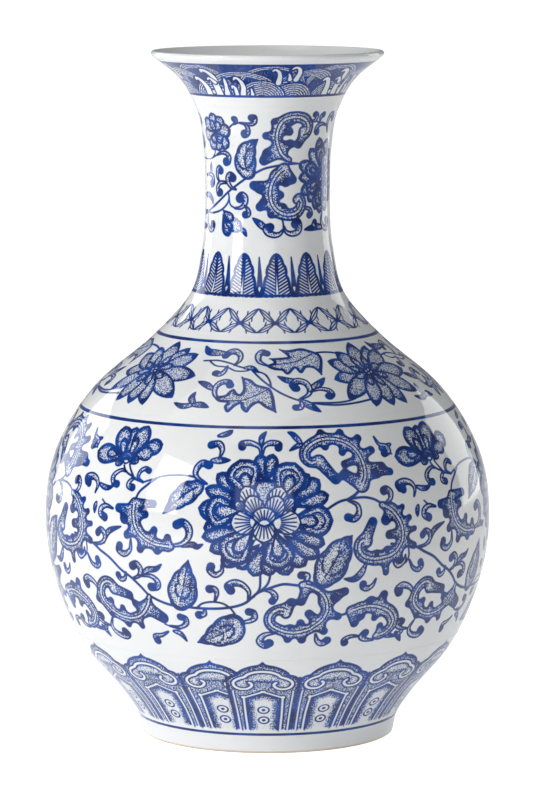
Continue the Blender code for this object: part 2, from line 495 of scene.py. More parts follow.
def smoothLine(points, closed=False, steps=5):
    # a curve through the points; a doubled point makes a corner
    given = np.array(points, float)
    if closed:
        given = np.vstack([given[-1:], given, given[:2]])
    else:
        given = np.vstack([2 * given[0] - given[1], given, 2 * given[-1] - given[-2]])
    t = np.linspace(0.0, 1.0, steps, endpoint=False)[:, None]
    parts = []
    for a, b, c, d in zip(given, given[1:], given[2:], given[3:]):
        square = (2 * a - 5 * b + 4 * c - d) * t**2
        cube = (3 * b - a - 3 * c + d) * t**3
        parts.append(0.5 * (2 * b + (c - a) * t + square + cube))
    if not closed:
        parts.append(given[-2:-1])
    return np.vstack(parts)


def strokeField(x, y, lineX, lineY, half):
    # depth inside a stroke, share of the way along it, and place across it from -1 to 1
    ax, ay = lineX[:-1, None, None], lineY[:-1, None, None]
    dx, dy = np.diff(lineX)[:, None, None], np.diff(lineY)[:, None, None]
    length = np.sqrt(dx**2 + dy**2) + 1e-9
    t = np.clip(((x - ax) * dx + (y - ay) * dy) / length**2, 0.0, 1.0)
    offX, offY = x - ax - t * dx, y - ay - t * dy
    distance = np.sqrt(offX**2 + offY**2)
    width = half[:-1, None, None] + t * np.diff(half)[:, None, None]
    depth = width - distance
    best = depth.argmax(axis=0)[None]
    pick = lambda values: np.take_along_axis(np.broadcast_to(values, depth.shape), best, 0)[0]
    startAt = (np.cumsum(length) - length.ravel())[:, None, None]
    along = (pick(startAt) + pick(t * length)) / length.sum()
    across = pick(np.sign(offX * dy - offY * dx) * distance) / np.maximum(pick(width), 0.05)
    return pick(depth), along, across, length.sum()


def areaField(x, y, lineX, lineY):
    # depth inside a closed line
    nextX, nextY = np.roll(lineX, -1), np.roll(lineY, -1)
    ax, ay = lineX[:, None, None], lineY[:, None, None]
    dx, dy = (nextX - lineX)[:, None, None], (nextY - lineY)[:, None, None]
    t = np.clip(((x - ax) * dx + (y - ay) * dy) / (dx**2 + dy**2 + 1e-9), 0.0, 1.0)
    distance = np.sqrt((x - ax - t * dx) ** 2 + (y - ay - t * dy) ** 2).min(axis=0)
    crosses = (ay > y) != (ay + dy > y)
    left = x < ax + dx * (y - ay) / np.where(dy == 0, 1e-9, dy)
    inside = (crosses & left).sum(axis=0) % 2 == 1
    return np.where(inside, distance, -distance)


def bend(lineX, lineY):
    # +1 where the line turns to its left, -1 to its right
    dx, dy = np.diff(lineX), np.diff(lineY)
    return math.copysign(1.0, (dx[:-1] * dy[1:] - dy[:-1] * dx[1:]).sum())


def strokes(canvas, line, half, margin):
    # every repeat of a stroke along the line: its place, and what strokeField says about it
    found, lineX, lineY = canvas.windows(line[:, 0], line[:, 1], margin)
    for place, x, y in found:
        yield place, *strokeField(x, y, lineX, lineY, half)


def areas(canvas, points):
    # every repeat of a closed shape through the points: its place, and the depth inside it
    line = smoothLine(points, closed=True)
    found, lineX, lineY = canvas.windows(line[:, 0], line[:, 1], edgeMargin)
    for place, x, y in found:
        yield place, areaField(x, y, lineX, lineY)


def paintStem(canvas, points, width, endWidth=None):
    line = smoothLine(points)
    half = np.linspace(width, width if endWidth is None else endWidth, len(line)) / 2
    for place, depth, *_ in strokes(canvas, line, half, width + edgeMargin):
        canvas.join(place, depth)


def paintCurl(canvas, points, width, bulb, start=0.35, dark=0.25):
    # a scroll that swells to a round end: dark rim, shaded inner side, solid end
    line = smoothLine(points)
    t = np.linspace(0.0, 1.0, len(line))
    half = start + (width - start) * np.clip(t / 0.55, 0, 1) ** 0.8
    half = half + (bulb - width) * np.clip((t - 0.72) / 0.25, 0, 1)
    found, lineX, lineY = canvas.windows(line[:, 0], line[:, 1], max(width, bulb) + edgeMargin)
    side = -bend(lineX, lineY)
    for place, x, y in found:
        depth, along, across, length = strokeField(x, y, lineX, lineY, half)
        rim = 0.36 - np.abs(depth - 0.18)
        end = np.minimum(depth, (along - 0.84) * length)
        inner = np.clip(across * side, -1, 1)
        shade = np.clip(dark + 0.55 * inner + 0.85 * (along - 0.45), 0, 0.95)
        canvas.lay(place, depth > 0, np.maximum(rim, end), shade)


def paintLeaf(canvas, points, width, lobes=4, veins=4, rim=0.5):
    # a pointed leaf along its midrib, from stalk to tip, with a wavy edge
    line = smoothLine(points, steps=8)
    t = np.linspace(0.0, 1.0, len(line))
    half = width * 1.1 * np.sin(math.pi * np.clip(t, 0, 1) ** 0.75) ** 1.1
    half = half * (0.86 + 0.2 * np.abs(np.sin(lobes * math.pi * t))) + 0.15
    for place, depth, along, across, length in strokes(canvas, line, half, width + 2.0):
        off = np.abs(across) * np.maximum(np.interp(along, t, half), 0.05)
        edge = rim - np.abs(depth - rim * 0.6)
        midrib = np.minimum(0.34 - off, depth)
        slant = (along * length - 0.9 * off) / (length / (veins + 1))
        vein = 0.30 - np.abs(slant - np.round(slant)) * length / (veins + 1) * 0.7
        vein = np.minimum(np.minimum(vein, depth - 0.2), (0.85 - along) * 20)
        near = np.clip(1.15 - depth / (0.38 * width), 0, 1)
        shade = np.where(across > 0, 0.42 + near * 0.5, near * 0.6 + 0.16)
        ink = np.maximum(np.maximum(edge, midrib), vein)
        canvas.lay(place, depth > 0, ink, np.clip(shade, 0, 0.95))


def paintAcanthus(canvas, spine, width, lobes, ends, band=0.85, reach=1.35):
    # a curled leaf: a light rib between two lines, and dark lobes on both sides
    line = smoothLine(spine)
    t = np.linspace(0.0, 1.0, len(line))
    swell = np.sin(math.pi * np.clip(t, 0.0, 1.0)) ** 0.7
    half = np.interp(t, [0, 1], ends) + (width + 0.8 - np.mean(ends)) * swell
    lobeSpots = np.array([lobe[:2] for lobe in lobes], float)
    lobeSizes = np.array([lobe[2] for lobe in lobes], float)
    azimuths = np.concatenate([line[:, 0], lobeSpots[:, 0]])
    heights = np.concatenate([line[:, 1], lobeSpots[:, 1]])
    found, everyX, everyY = canvas.windows(azimuths, heights, width + 3.0)
    count = len(line)
    lineX, lineY = everyX[:count], everyY[:count]
    for place, x, y in found:
        depth, along, across, _ = strokeField(x, y, lineX, lineY, half)
        middle = np.abs(across) * np.interp(along, t, half)
        bulbs = np.full(depth.shape, -9.0)
        for spotX, spotY, size in zip(everyX[count:], everyY[count:], lobeSizes):
            nearest = np.hypot(lineX - spotX, lineY - spotY).argmin()
            armX = np.array([lineX[nearest], spotX])
            armY = np.array([lineY[nearest], spotY])
            arm = strokeField(x, y, armX, armY, np.array([size * reach, size]))[0]
            mix = np.clip(0.5 + 0.5 * (arm - depth) / 2.2, 0, 1)
            depth = depth * (1 - mix) + arm * mix + 2.2 * mix * (1 - mix)
            bulbs = np.maximum(bulbs, size * 0.84 - np.hypot(x - spotX, y - spotY))
        rim = 0.40 - np.abs(depth - 0.22)
        ribs = np.minimum(0.28 - np.abs(middle - band), depth)
        ribs = np.where((along > 0.02) & (along < 0.97), ribs, -1.0)
        outside = np.clip((middle - band - 0.5) / 3.2, 0, 1)
        near = np.clip(1.0 - depth / 1.5, 0, 1)
        lobed = 0.28 + 0.32 * outside + 0.48 * near * (middle > band)
        shade = np.where(middle < band, 0.14, lobed)
        ink = np.maximum(np.maximum(rim, bulbs), ribs)
        canvas.lay(place, depth > 0, ink, np.clip(shade, 0, 0.9))


def petalLine(base, tip, width, blunt=1.7, full=0.62):
    # closed line of a petal that is widest near its tip; base and tip in flat millimetres
    t = np.linspace(0.0, 1.0, 15)
    half = width * np.sin(math.pi * t**blunt) ** full
    axis = np.array(tip, float) - np.array(base, float)
    length = np.hypot(*axis)
    axis = axis / length
    normal = np.array([-axis[1], axis[0]])
    left = np.array(base) + np.outer(t * length, axis) + np.outer(half, normal)
    right = np.array(base) + np.outer(t * length, axis) - np.outer(half, normal)
    return np.vstack([left, right[-2:0:-1]])


def flatPlace(point, centre):
    return (
        (point[0] - centre[0]) * degreeLength(centre[1]),
        arcAt(point[1]) - arcAt(centre[1]),
    )


def paintPetal(canvas, base, tip, width, kind="dark", blunt=1.7, full=0.62, stripes=7):
    if kind == "striped":
        blunt, full = 1.15, 0.55
    centre = ((base[0] + tip[0]) / 2, (base[1] + tip[1]) / 2)
    scale = degreeLength(centre[1])
    flatBase, flatTip = flatPlace(base, centre), flatPlace(tip, centre)
    shape = petalLine(flatBase, flatTip, width, blunt, full)
    azimuths = centre[0] + shape[:, 0] / scale
    heights = np.interp(arcAt(centre[1]) + shape[:, 1], tableArc, tableHeight)
    found, lineX, lineY = canvas.windows(azimuths, heights, 1.5)
    shiftX, shiftY = lineX[0] - shape[0, 0], lineY[0] - shape[0, 1]
    baseX, baseY = flatBase[0] + shiftX, flatBase[1] + shiftY
    length = math.hypot(flatTip[0] - flatBase[0], flatTip[1] - flatBase[1])
    heading = math.atan2(flatTip[1] - flatBase[1], flatTip[0] - flatBase[0])
    for place, x, y in found:
        depth = areaField(x, y, lineX, lineY)
        away = np.hypot(x - baseX, y - baseY)
        turn = np.arctan2(y - baseY, x - baseX) - heading
        turn = (turn + math.pi) % math.tau - math.pi
        if kind == "striped":
            ink = 0.34 - np.abs(depth - 0.10)
            spread = 2.0 * math.atan2(width, length * 0.55) / stripes
            line = 0.26 - np.abs(turn / spread - np.round(turn / spread)) * spread * away
            line = np.minimum(np.minimum(line, depth - 0.5), away - 0.32 * length)
            line = np.minimum(line, 0.86 * length - away)
            ink, shade = np.maximum(ink, line), 0.06
        elif kind == "nested":
            ink = np.maximum(0.62 - np.abs(depth - 0.45), 0.30 - np.abs(depth - 3.3))
            ring = np.clip(1.05 - (depth - 0.9) / 1.9, 0, 1)
            within = np.clip(1.0 - (depth - 3.3) / 2.4, 0, 1)
            shade = np.where(depth < 3.3, ring * 0.9, within * 0.8)
            shade = np.maximum(shade, 0.20)
        elif kind == "drop":
            ink = 0.42 - np.abs(depth - 0.2)
            shade = np.clip(1.2 * (away / length - 0.45) + 0.9 * (1 - depth / 1.6), 0.22, 0.9)
        elif kind == "plain":
            ink = 0.42 - np.abs(depth - 0.2)
            shade = np.clip(0.95 - depth / 2.6, 0.28, 0.9)
        elif kind == "pointed":
            ink = np.maximum(0.40 - np.abs(depth - 0.2), np.minimum(depth, away - 0.84 * length))
            shade = np.clip(1.0 - depth / 2.6, 0.26, 0.92)
            shade = shade + 0.6 * np.clip(0.45 - away / length, 0, 1)
            shade = np.clip(shade + 0.5 * np.clip(away / length - 0.6, 0, 1), 0, 0.95)
        else:
            ink = 0.66 - np.abs(depth - 0.5)
            shade = np.clip(1.0 - (depth - 0.6) / 3.0, 0.30, 0.95)
        canvas.lay(place, depth > 0, ink, shade)


def paintArea(canvas, points, kind="plain", rim=0.4, shade=0.15, fade=2.0):
    # a closed shape: solid, a ring of rim and shade, or plain with shading that fades inwards
    for place, depth in areas(canvas, points):
        if kind == "solid":
            canvas.lay(place, depth > 0, depth, 0.0)
            continue
        ink = rim - np.abs(depth - rim * 0.5)
        tone = np.clip(0.95 - depth / fade, 0, 0.95) if kind == "plain" else 0.0
        canvas.lay(place, depth > 0, ink, np.maximum(tone, shade))


sheetMaking = {
    "thickness": 0.3,
    "coarse": 14,        # grid steps between the lines kept on the hidden side
    "step": 1.0,
}


def flatSheet(columns, rows):
    # a closed thin sheet in grid steps: fine on the printed side, coarse underneath
    shape = bmesh.new()
    bmesh.ops.create_grid(shape, x_segments=columns, y_segments=rows, size=0.5)
    bmesh.ops.translate(shape, verts=shape.verts[:], vec=(0.5, 0.5, 0.0))
    bmesh.ops.scale(shape, verts=shape.verts[:], vec=(columns, rows, 1.0))
    under = shape.faces[:]
    raised = bmesh.ops.extrude_face_region(shape, geom=under)
    top = [item for item in raised["geom"] if isinstance(item, bmesh.types.BMVert)]
    bmesh.ops.translate(shape, verts=top, vec=(0.0, 0.0, 1.0))
    coarse = sheetMaking["coarse"]
    spare = []
    for edge in shape.edges:
        one, two = edge.verts
        if one.co.z > 0.5 or two.co.z > 0.5:
            continue
        level = round(one.co.y)
        column = round(one.co.x)
        if round(two.co.y) == level:
            if level % coarse and level != rows:
                spare.append(edge)
        elif column % coarse and column != columns:
            spare.append(edge)
    bmesh.ops.dissolve_edges(shape, edges=spare, use_verts=True)
    bmesh.ops.recalc_face_normals(shape, faces=shape.faces[:])
    return shape


def printedSheet(name, canvas, ink, shade, nodeName, turn=0.0, fullTurn=False):
    columns, rows = canvas.columns, canvas.rows
    shape = flatSheet(columns, rows)
    if fullTurn:
        # both ends of a full turn are opened, and then joined to each other
        ends = [face for face in shape.faces if abs(face.normal.x) > 0.9]
        bmesh.ops.delete(shape, geom=ends, context="FACES")
    mesh = bpy.data.meshes.new(name)
    for face in shape.faces:
        face.smooth = True
    inkLayer = shape.verts.layers.float.new("ink")
    shadeLayer = shape.verts.layers.float.new("shade")
    radii, heights = skinPoint(canvas.height, 0.0)
    underRadii, underHeights = skinPoint(canvas.height, sheetMaking["thickness"])
    angles = np.radians(canvas.azimuth + turn)
    sines, cosines = np.sin(angles), np.cos(angles)
    for vert in shape.verts:
        column, row = round(vert.co.x), round(vert.co.y)
        above = vert.co.z > 0.5
        vert[inkLayer] = ink[row, column] if above else noInk
        vert[shadeLayer] = shade[row, column] if above else 0.0
        radius = radii[row] if above else underRadii[row]
        height = heights[row] if above else underHeights[row]
        vert.co = (radius * sines[column] * mm, -radius * cosines[column] * mm, height * mm)
    if fullTurn:
        bmesh.ops.remove_doubles(shape, verts=shape.verts[:], dist=mergeDistance)
    shape.to_mesh(mesh)
    shape.free()
    mesh.set_sharp_from_angle(angle=sharpAngle)
    mesh.materials.append(cobaltPrint)
    piece = bpy.data.objects.new(name, mesh)
    bpy.context.scene.collection.objects.link(piece)
    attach(piece, "root")
    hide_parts(nodeName)
    print(name, len(mesh.polygons), "faces")


paintedLines = {
    "step": 0.30,
    "columns": 360,
    "half": 0.74,
    # the wavering of the hand as (millimetres, waves round the vase, degrees of the first)
    "sway": [(0.06, 5.0, 0.0), (0.05, 13.0, 40.0)],
    "nodes": {"shoulderLine": "shoulder_line", "bellyLine": "belly_line", "footLine": "foot_line"},
}


def makePaintedLines():
    # bands drawn with a full brush while the vase turns on the wheel
    plan = paintedLines
    for name, nodeName in plan["nodes"].items():
        low, high = (corner.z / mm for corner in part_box(nodeName))
        canvas = Canvas({"low": low, "high": high, "step": plan["step"]})
        canvas.divide(plan["columns"])
        across = (canvas.arc - canvas.arc.mean())[:, None]
        sway = sum(
            size * np.sin(np.radians(canvas.azimuth * waves + first))
            for size, waves, first in plan["sway"]
        )
        ink = plan["half"] + sway[None, :] - np.abs(across)
        printedSheet(name, canvas, ink, canvas.shade, nodeName, fullTurn=True)


bellyScroll = {
    "low": 55.0,
    "high": 158.8,
    "step": 0.46,
    "repeat": 90.0,
    "seam": 40.0,
    # stalks as (width, places)
    "stalks": [
        (1.1, [(-57.7, 105.6), (-53, 103.7), (-49.9, 102.8), (-47, 100), (-43.4, 96.8),
               (-39.9, 92), (-37, 89.1),
               (-34.1, 85), (-32, 81.4), (-29.1, 78.9), (-25.6, 77.2), (-22.4, 77), (-18.9, 76.6),
               (-15.3, 76.6),
               (-11.7, 77), (-8.1, 78.2), (-5.6, 80), (-3.9, 82.7), (-2.4, 85), (-0.6, 86.4),
               (2, 88.2),
               (4.2, 89.1), (7.5, 88.4)]),
        (0.8, [(-18.3, 77), (-16.7, 79.1), (-14.2, 80), (-11.7, 79.5), (-9.9, 77.7), (-8.5, 74.5),
               (-8.1, 71.8)]),
        (0.9, [(-3.5, 83), (-2, 87), (-1.8, 93)]),
        (0.9, [(-1.9, 85.5), (0.1, 89.5), (0.8, 95)]),
        (0.8, [(-41.3, 140.3), (-39.9, 137.6), (-37.7, 135.9), (-36.2, 134.6), (-33.8, 133.7)]),
        (0.8, [(-39.5, 141.2), (-38.6, 138.7), (-36.6, 134.8)]),
        (0.7, [(-33.8, 133.7), (-31, 135.5), (-27, 137.6), (-20.3, 138), (-15.6, 134.8)]),
        (0.7, [(-20.1, 135.3), (-17.6, 134.9), (-15.6, 134.8)]),
        (1.0, [(-35.7, 124), (-34.6, 129), (-32.4, 132.7), (-30, 135.8)]),
        (1.0, [(14.5, 123), (17.9, 126.4), (20.7, 127.6), (24.7, 128.1), (27.6, 127), (29.6, 125)]),
        (1.2, [(20.7, 127.6), (22.6, 129.4), (24, 131.4)]),
        (1.1, [(18.6, 73), (20.4, 73.4), (22.4, 74.8)]),
        (0.8, [(-52.4, 103.4), (-52.2, 99), (-53, 96)]),
        (0.7, [(-42.6, 120.3), (-44.9, 121.6), (-46.6, 123.8)]),
        (0.7, [(-28.4, 67.4), (-26, 66), (-24, 65.4)]),
    ],
    # curls as (width, end size, places), the last place being the middle of the round end
    "curls": [
        (1.3, 1.6, [(-39.9, 137.7), (-41.6, 138.1), (-43.4, 136.4), (-44.1, 134.2), (-43.4, 132),
                    (-42.2, 131.6)]),
        (1.3, 1.6, [(-36.6, 135.2), (-38, 133.7), (-38.2, 131.5), (-36.9, 130.9)]),
        (1.0, 1.3, [(-33.8, 133.7), (-35.5, 135.3), (-35.4, 138.1), (-34, 139.8), (-32.6, 139)]),
        (1.5, 1.8, [(-42.5, 120.3), (-44.9, 121.2), (-46.6, 119.8), (-46.9, 117.3),
                    (-45.2, 115.7)]),
        (1.3, 1.6, [(-49.5, 102.6), (-46.7, 103.2), (-45.1, 105.6), (-45.4, 108.6), (-46.6, 109.6),
                    (-47.7, 108)]),
        (1.5, 1.8, [(-36.3, 107), (-36.5, 102.2), (-38.4, 99.8), (-40.2, 101.3), (-39.9, 103.4)]),
        (1.8, 1.9, [(-26, 105.4), (-21.8, 106.8), (-19.9, 110.3), (-19.9, 114.4), (-21.4, 116.8),
                    (-23.1, 115.7)]),
        (1.5, 1.7, [(-15.7, 134.9), (-18.6, 137.8), (-19, 141), (-17.6, 143.9), (-15.6, 143.1)]),
        (1.5, 1.8, [(-12.9, 146.8), (-12.5, 150), (-13.6, 152.6), (-15.7, 152)]),
        (1.4, 1.6, [(-1.8, 148), (-2.2, 151.4), (-4.6, 153.2), (-7.0, 152.9), (-7.0, 151.4)]),
        (1.4, 1.6, [(-1.4, 148), (-1, 151.6), (0.7, 153.2), (3.0, 152.8), (3.0, 151.1)]),
        (1.4, 1.8, [(-11.4, 98), (-11.4, 95), (-13, 93.1), (-14.4, 95), (-14.1, 97)]),
        (1.3, 1.8, [(-13.5, 80.3), (-12.9, 84.1), (-13.4, 86.3), (-14.7, 86.2)]),
        (1.6, 1.9, [(-4.9, 81.4), (-4.7, 85.5), (-6.3, 88.8), (-8.3, 89.6), (-9.9, 88),
                    (-9.3, 85.9)]),
        (1.3, 1.9, [(-16.3, 76.4), (-16.6, 73.9), (-18, 73.2)]),
        (1.4, 1.7, [(-8.1, 70.9), (-5.6, 70.6), (-3.5, 72.3), (-3.6, 75), (-4.8, 75.6)]),
        (1.8, 2.0, [(2.4, 65.2), (-0.8, 64.2), (-2.1, 61.2), (-0.9, 58.9), (0.4, 60)]),
        (1.2, 1.5, [(-38.3, 90.9), (-38.9, 88), (-40.3, 87.4), (-41, 89.2)]),
        (1.3, 1.6, [(-52, 97), (-50.6, 93), (-48.8, 91.8), (-47.7, 93.2), (-48.2, 95.2)]),
        (1.4, 1.9, [(-53.3, 99.5), (-53.6, 96.6), (-55.3, 95), (-56.3, 96.8), (-55.4, 97.4)]),
        (1.4, 1.9, [(-36.3, 88.4), (-34.3, 90), (-33.6, 93.2), (-34.7, 95.6), (-36, 94.5)]),
        (1.4, 1.9, [(-34.1, 90.1), (-30.8, 90.6), (-28.9, 88.4), (-28.9, 85.7), (-30.8, 85.2)]),
        (1.8, 2.1, [(-49.2, 79.5), (-50.6, 83.3), (-53, 85), (-54.7, 83.6), (-54.2, 81.8)]),
        (1.4, 1.8, [(-48.5, 62.7), (-51, 63.4), (-52.6, 65.2), (-52, 67.2), (-51.2, 66.6)]),
        (1.6, 1.9, [(-46.6, 66.8), (-47.8, 62.7), (-46.6, 59.6), (-43.6, 58.3), (-42.1, 59.6),
                    (-43, 60.9)]),
        (1.2, 1.8, [(-27.8, 63.6), (-30, 61.6), (-32.3, 60.6), (-31.9, 58.4)]),
        (1.3, 1.6, [(-27, 66.6), (-24, 66.4), (-22.1, 68.3), (-22, 70.8), (-23.4, 71.6)]),
        (1.5, 1.7, [(20.5, 127.2), (23, 124.8), (23.3, 121), (22.1, 118.6), (20.3, 119.4)]),
        (1.6, 1.9, [(30.8, 124.4), (32.5, 126.3), (32.8, 129), (31.8, 130.8), (30.9, 130.3)]),
        (1.4, 1.7, [(-49.3, 131.4), (-51.2, 133.2), (-53.2, 132), (-53, 130)]),
        (1.3, 1.6, [(31.6, 154.2), (32.5, 151), (34.6, 149.6), (35, 147.6), (33.4, 146.6)]),
        (1.4, 1.7, [(8.4, 88.6), (9.7, 90.9), (9.8, 93), (8.4, 93.2)]),
        (1.4, 1.6, [(-0.9, 86.3), (1, 85.6), (1.9, 83), (1.2, 80.9)]),
        (1.5, 1.9, [(12.9, 64.1), (13.5, 60.8), (15, 59.2), (16.3, 60.6)]),
        (1.2, 1.7, [(25.9, 61.6), (23.2, 61.9), (21.3, 60.4), (21.6, 58.8)]),
        (1.5, 1.9, [(30.4, 59), (27.7, 59.7), (26.4, 61.4), (27.3, 63)]),
        (1.4, 1.7, [(28.2, 89.5), (27.4, 86.6), (26, 85.3), (24.8, 86), (24.7, 87.4)]),
        (1.5, 1.9, [(-49.8, 126.4), (-49.2, 129.8), (-50.2, 132.6), (-52.4, 133.6), (-54.4, 132.6),
                    (-53.9, 130.9)]),
    ],
    # small dark flames as (width, places)
    "flames": [
        (1.7, [(-48.4, 130.6), (-46.8, 129.6), (-45, 129.4), (-43.4, 130.4)]),
        (1.9, [(-45.4, 104), (-44.1, 108.6), (-42.4, 110.6), (-39.5, 112.4)]),
        (1.8, [(-21.6, 106), (-18.9, 106.9), (-17.6, 106), (-16.2, 107.2)]),
        (2.2, [(-15, 145.2), (-12.6, 145.4), (-10.1, 145.6)]),
        (1.8, [(-14, 156), (-12.4, 156.6), (-10.9, 157.6), (-10.4, 159.2)]),
        (1.7, [(-1.7, 152.6), (-1.6, 155.6), (-0.4, 158)]),
        (1.9, [(9.4, 153), (8.4, 154.8), (7.2, 156.9), (5.9, 157.8)]),
        (1.5, [(9.8, 152.4), (8.2, 151.8), (6.1, 149.9)]),
        (2.4, [(25, 96.4), (23.8, 92.6), (22, 90.2), (19.5, 90.6)]),
        (1.9, [(-32.7, 91.4), (-31.4, 93.4), (-29, 94.2), (-27.4, 96.5)]),
        (1.6, [(-26, 64.1), (-24, 63), (-22.6, 59.6)]),
        (1.7, [(-48.8, 121.8), (-49.2, 119.6), (-49.2, 117)]),
        (2.0, [(-57.8, 60.2), (-56.4, 61.2), (-54.6, 60.4), (-51.6, 59.6)]),
        (1.8, [(-52.5, 61.6), (-51.2, 59.4), (-49.9, 56.8)]),
        (1.6, [(-50.2, 62.6), (-51, 61), (-53.6, 60)]),
        (1.9, [(33.8, 75.2), (34, 72.4), (33.8, 69)]),
        (1.7, [(-53.8, 150.4), (-55.6, 149.6), (-57.2, 148.8), (-54.2, 146.2)]),
    ],
    "acanthus": [
        # left of the lotus
        {"spine": [(-35.6, 124), (-35.7, 119), (-34.9, 113.2), (-32.7, 108.7), (-29.1, 105.9),
                   (-24.4, 105.2)],
         "width": 2.4, "ends": (1.4, 1.0),
         "lobes": [(-40.6, 121, 1.9), (-38.4, 116.6, 2.6), (-37.5, 109, 1.8), (-33.4, 103, 1.8),
                   (-28.4, 103, 1.8),
                   (-32.0, 119.2, 1.5), (-29.3, 112.4, 1.6), (-25.5, 109.3, 1.6),
                   (-29.9, 124.4, 1.7)]},
        # under it, curling back to the left
        {"spine": [(-31.8, 80.5), (-32.7, 75.9), (-35.2, 70.9), (-38.4, 68.6), (-42.4, 68.6),
                   (-45.6, 70.9),
                   (-48.1, 74.5), (-48.8, 78.2), (-47.9, 82.5), (-45.9, 85), (-44, 84.6),
                   (-43.5, 82.2)],
         "width": 1.9, "ends": (1.2, 2.0),
         "lobes": [(-50.4, 75.5, 1.7), (-46.2, 69, 1.7), (-40.8, 65.2, 1.7), (-36, 65.2, 1.5),
                   (-28.6, 70.5, 2.7),
                   (-45.2, 75.8, 1.6), (-41.4, 73, 1.5), (-38.2, 80, 2.1), (-36.6, 76, 1.8)]},
        # right of the lower stalk
        {"spine": [(8.6, 88.6), (11.8, 86.8), (14.3, 83.2), (15.4, 78.2), (15.2, 73.6),
                   (13.5, 69.6), (10.4, 66.2),
                   (6.4, 65.2), (3.2, 66.7), (0.9, 69.3), (0.5, 72.7), (1.5, 75.6), (3.3, 77),
                   (4.7, 76),
                   (4.8, 74)],
         "width": 1.9, "ends": (1.4, 1.6),
         "lobes": [(6.0, 80, 2.2), (8.6, 80.4, 1.8), (10.7, 74.5, 1.8), (8.6, 70, 1.6),
                   (5.9, 67.8, 1.4),
                   (19.8, 84.5, 1.9), (17.2, 82, 2.6), (18.6, 72.4, 1.7), (15.2, 65.3, 1.7),
                   (9.3, 61.4, 1.8),
                   (5.4, 61.7, 1.6)]},
        # top right
        {"spine": [(13.9, 145), (11.6, 144.4), (10.2, 146.6), (10.4, 149.8), (12.2, 152.4),
                   (15.4, 154.4),
                   (19.3, 154.3), (22.9, 152.3), (25.2, 148.4), (26.3, 143.1), (26.2, 137.6),
                   (24.6, 132.6)],
         "width": 2.0, "ends": (1.7, 1.5),
         "lobes": [(15.4, 157.4, 1.5), (21.3, 157, 1.7), (26.4, 154.2, 1.7), (29.6, 148.7, 1.7),
                   (29.2, 138.6, 2.6), (31.6, 141.2, 2.0), (33.8, 138.6, 1.6), (16.1, 151, 1.4),
                   (20.7, 148.4, 1.5),
                   (20.8, 143.3, 1.5), (17.8, 136.8, 2.2), (20.6, 138.6, 2.4)]},
        # right of the lotus, with its end curling up again
        {"spine": [(29.9, 124), (31.9, 122.4), (34, 118.7), (35.6, 113.1), (35.6, 106.4),
                   (33, 101), (28.6, 99.3),
                   (25.2, 100.3), (23.5, 103), (23.3, 106.4), (24.3, 108.2), (25.6, 107.2)],
         "width": 2.3, "ends": (1.5, 1.8),
         "lobes": [(27.0, 116.4, 2.2), (30.8, 117, 2.4), (31.7, 110, 1.9), (31.1, 102.8, 1.8),
                   (28.1, 101.4, 1.6),
                   (36, 122.2, 1.2), (38, 117, 1.3), (39.6, 111.6, 1.1), (39.4, 103.6, 1.5),
                   (35.2, 97.4, 1.6),
                   (31, 92.4, 1.5)]},
        # low on the right
        {"spine": [(22.2, 74.8), (26, 76.4), (30, 75.6), (34, 72), (35.6, 67), (33.8, 62.4),
                   (30.6, 61)],
         "width": 2.6, "ends": (1.4, 1.2),
         "lobes": [(31.1, 81.4, 2.0), (27.4, 79, 2.2), (23.6, 68.4, 1.9), (25.2, 71.6, 1.8),
                   (29.4, 70.4, 1.6),
                   (31.5, 66, 1.5)]},
    ],
    "leaves": [
        {"rib": [(-16.8, 134.4), (-20.4, 131), (-23.6, 126.4), (-26.9, 120.5)], "width": 4.4},
        {"rib": [(-23.6, 77), (-22.2, 83), (-21.2, 90), (-20.0, 99.3)], "width": 6.3},
        {"rib": [(-8.3, 71.9), (-10, 66.8), (-14, 62.8), (-19.4, 59.3)], "width": 6.2},
        {"rib": [(13.2, 88.8), (15, 94), (17, 100), (19, 106), (21.3, 110.8)], "width": 6.6},
    ],
    # petals of the side-on bud and of the open lotus as (kind, base, tip, width)
    "bud": [
        ("dark", (-41.5, 143), (-41.4, 157.2), 4.6),
        ("dark", (-42.4, 142.5), (-46.2, 157), 5.0),
        ("dark", (-40.2, 142.5), (-37.2, 158.3), 5.0),
        ("drop", (-42.6, 144), (-44.6, 152.2), 2.1),
        ("drop", (-40.4, 144), (-39.4, 153), 2.1),
        ("dark", (-38.2, 146.5), (-30.4, 151), 4.2),
        ("dark", (-41.5, 143.5), (-53.4, 144.8), 5.0),
        ("drop", (-44.6, 144.4), (-49.2, 145), 2.2),
        ("plain", (-39, 145), (-32.8, 147), 3.4),
        ("striped", (-41.6, 144.6), (-44.4, 140), 2.4),
        ("striped", (-40.6, 145), (-36.8, 142.2), 2.4),
        ("striped", (-41, 141), (-41, 146.4), 3.0),
    ],
    "lotus": [
        ("dark", (-0.5, 106), (-0.5, 138), 15.0),
        ("dark", (-0.6, 136), (-2.2, 148.4), 3.4),
        ("dark", (-0.2, 136), (1.5, 148.5), 3.4),
        ("dark", (-6, 130), (-13.2, 139.5), 3.8),
        ("dark", (-6, 130), (-10.2, 141.5), 3.6),
        ("dark", (-6, 127), (-16, 133), 3.6),
        ("dark", (-6, 121), (-17.5, 124), 5.4),
        ("dark", (-6, 117), (-16, 114.8), 4.6),
        ("dark", (-4, 115), (-16.4, 110.6), 3.8),
        ("dark", (-4, 113), (-14.4, 104.4), 4.0),
        ("dark", (-3, 110), (-11.4, 97.6), 4.4),
        ("dark", (-2, 108), (-7.6, 96.6), 4.4),
        ("dark", (-1, 108), (-3.6, 92.9), 4.6),
        ("dark", (0, 108), (0.4, 93), 4.0),
        ("dark", (2, 108), (5.2, 93.4), 4.6),
        ("dark", (3, 110), (9.4, 97.6), 4.6),
        ("dark", (4, 112), (12.8, 101.6), 4.2),
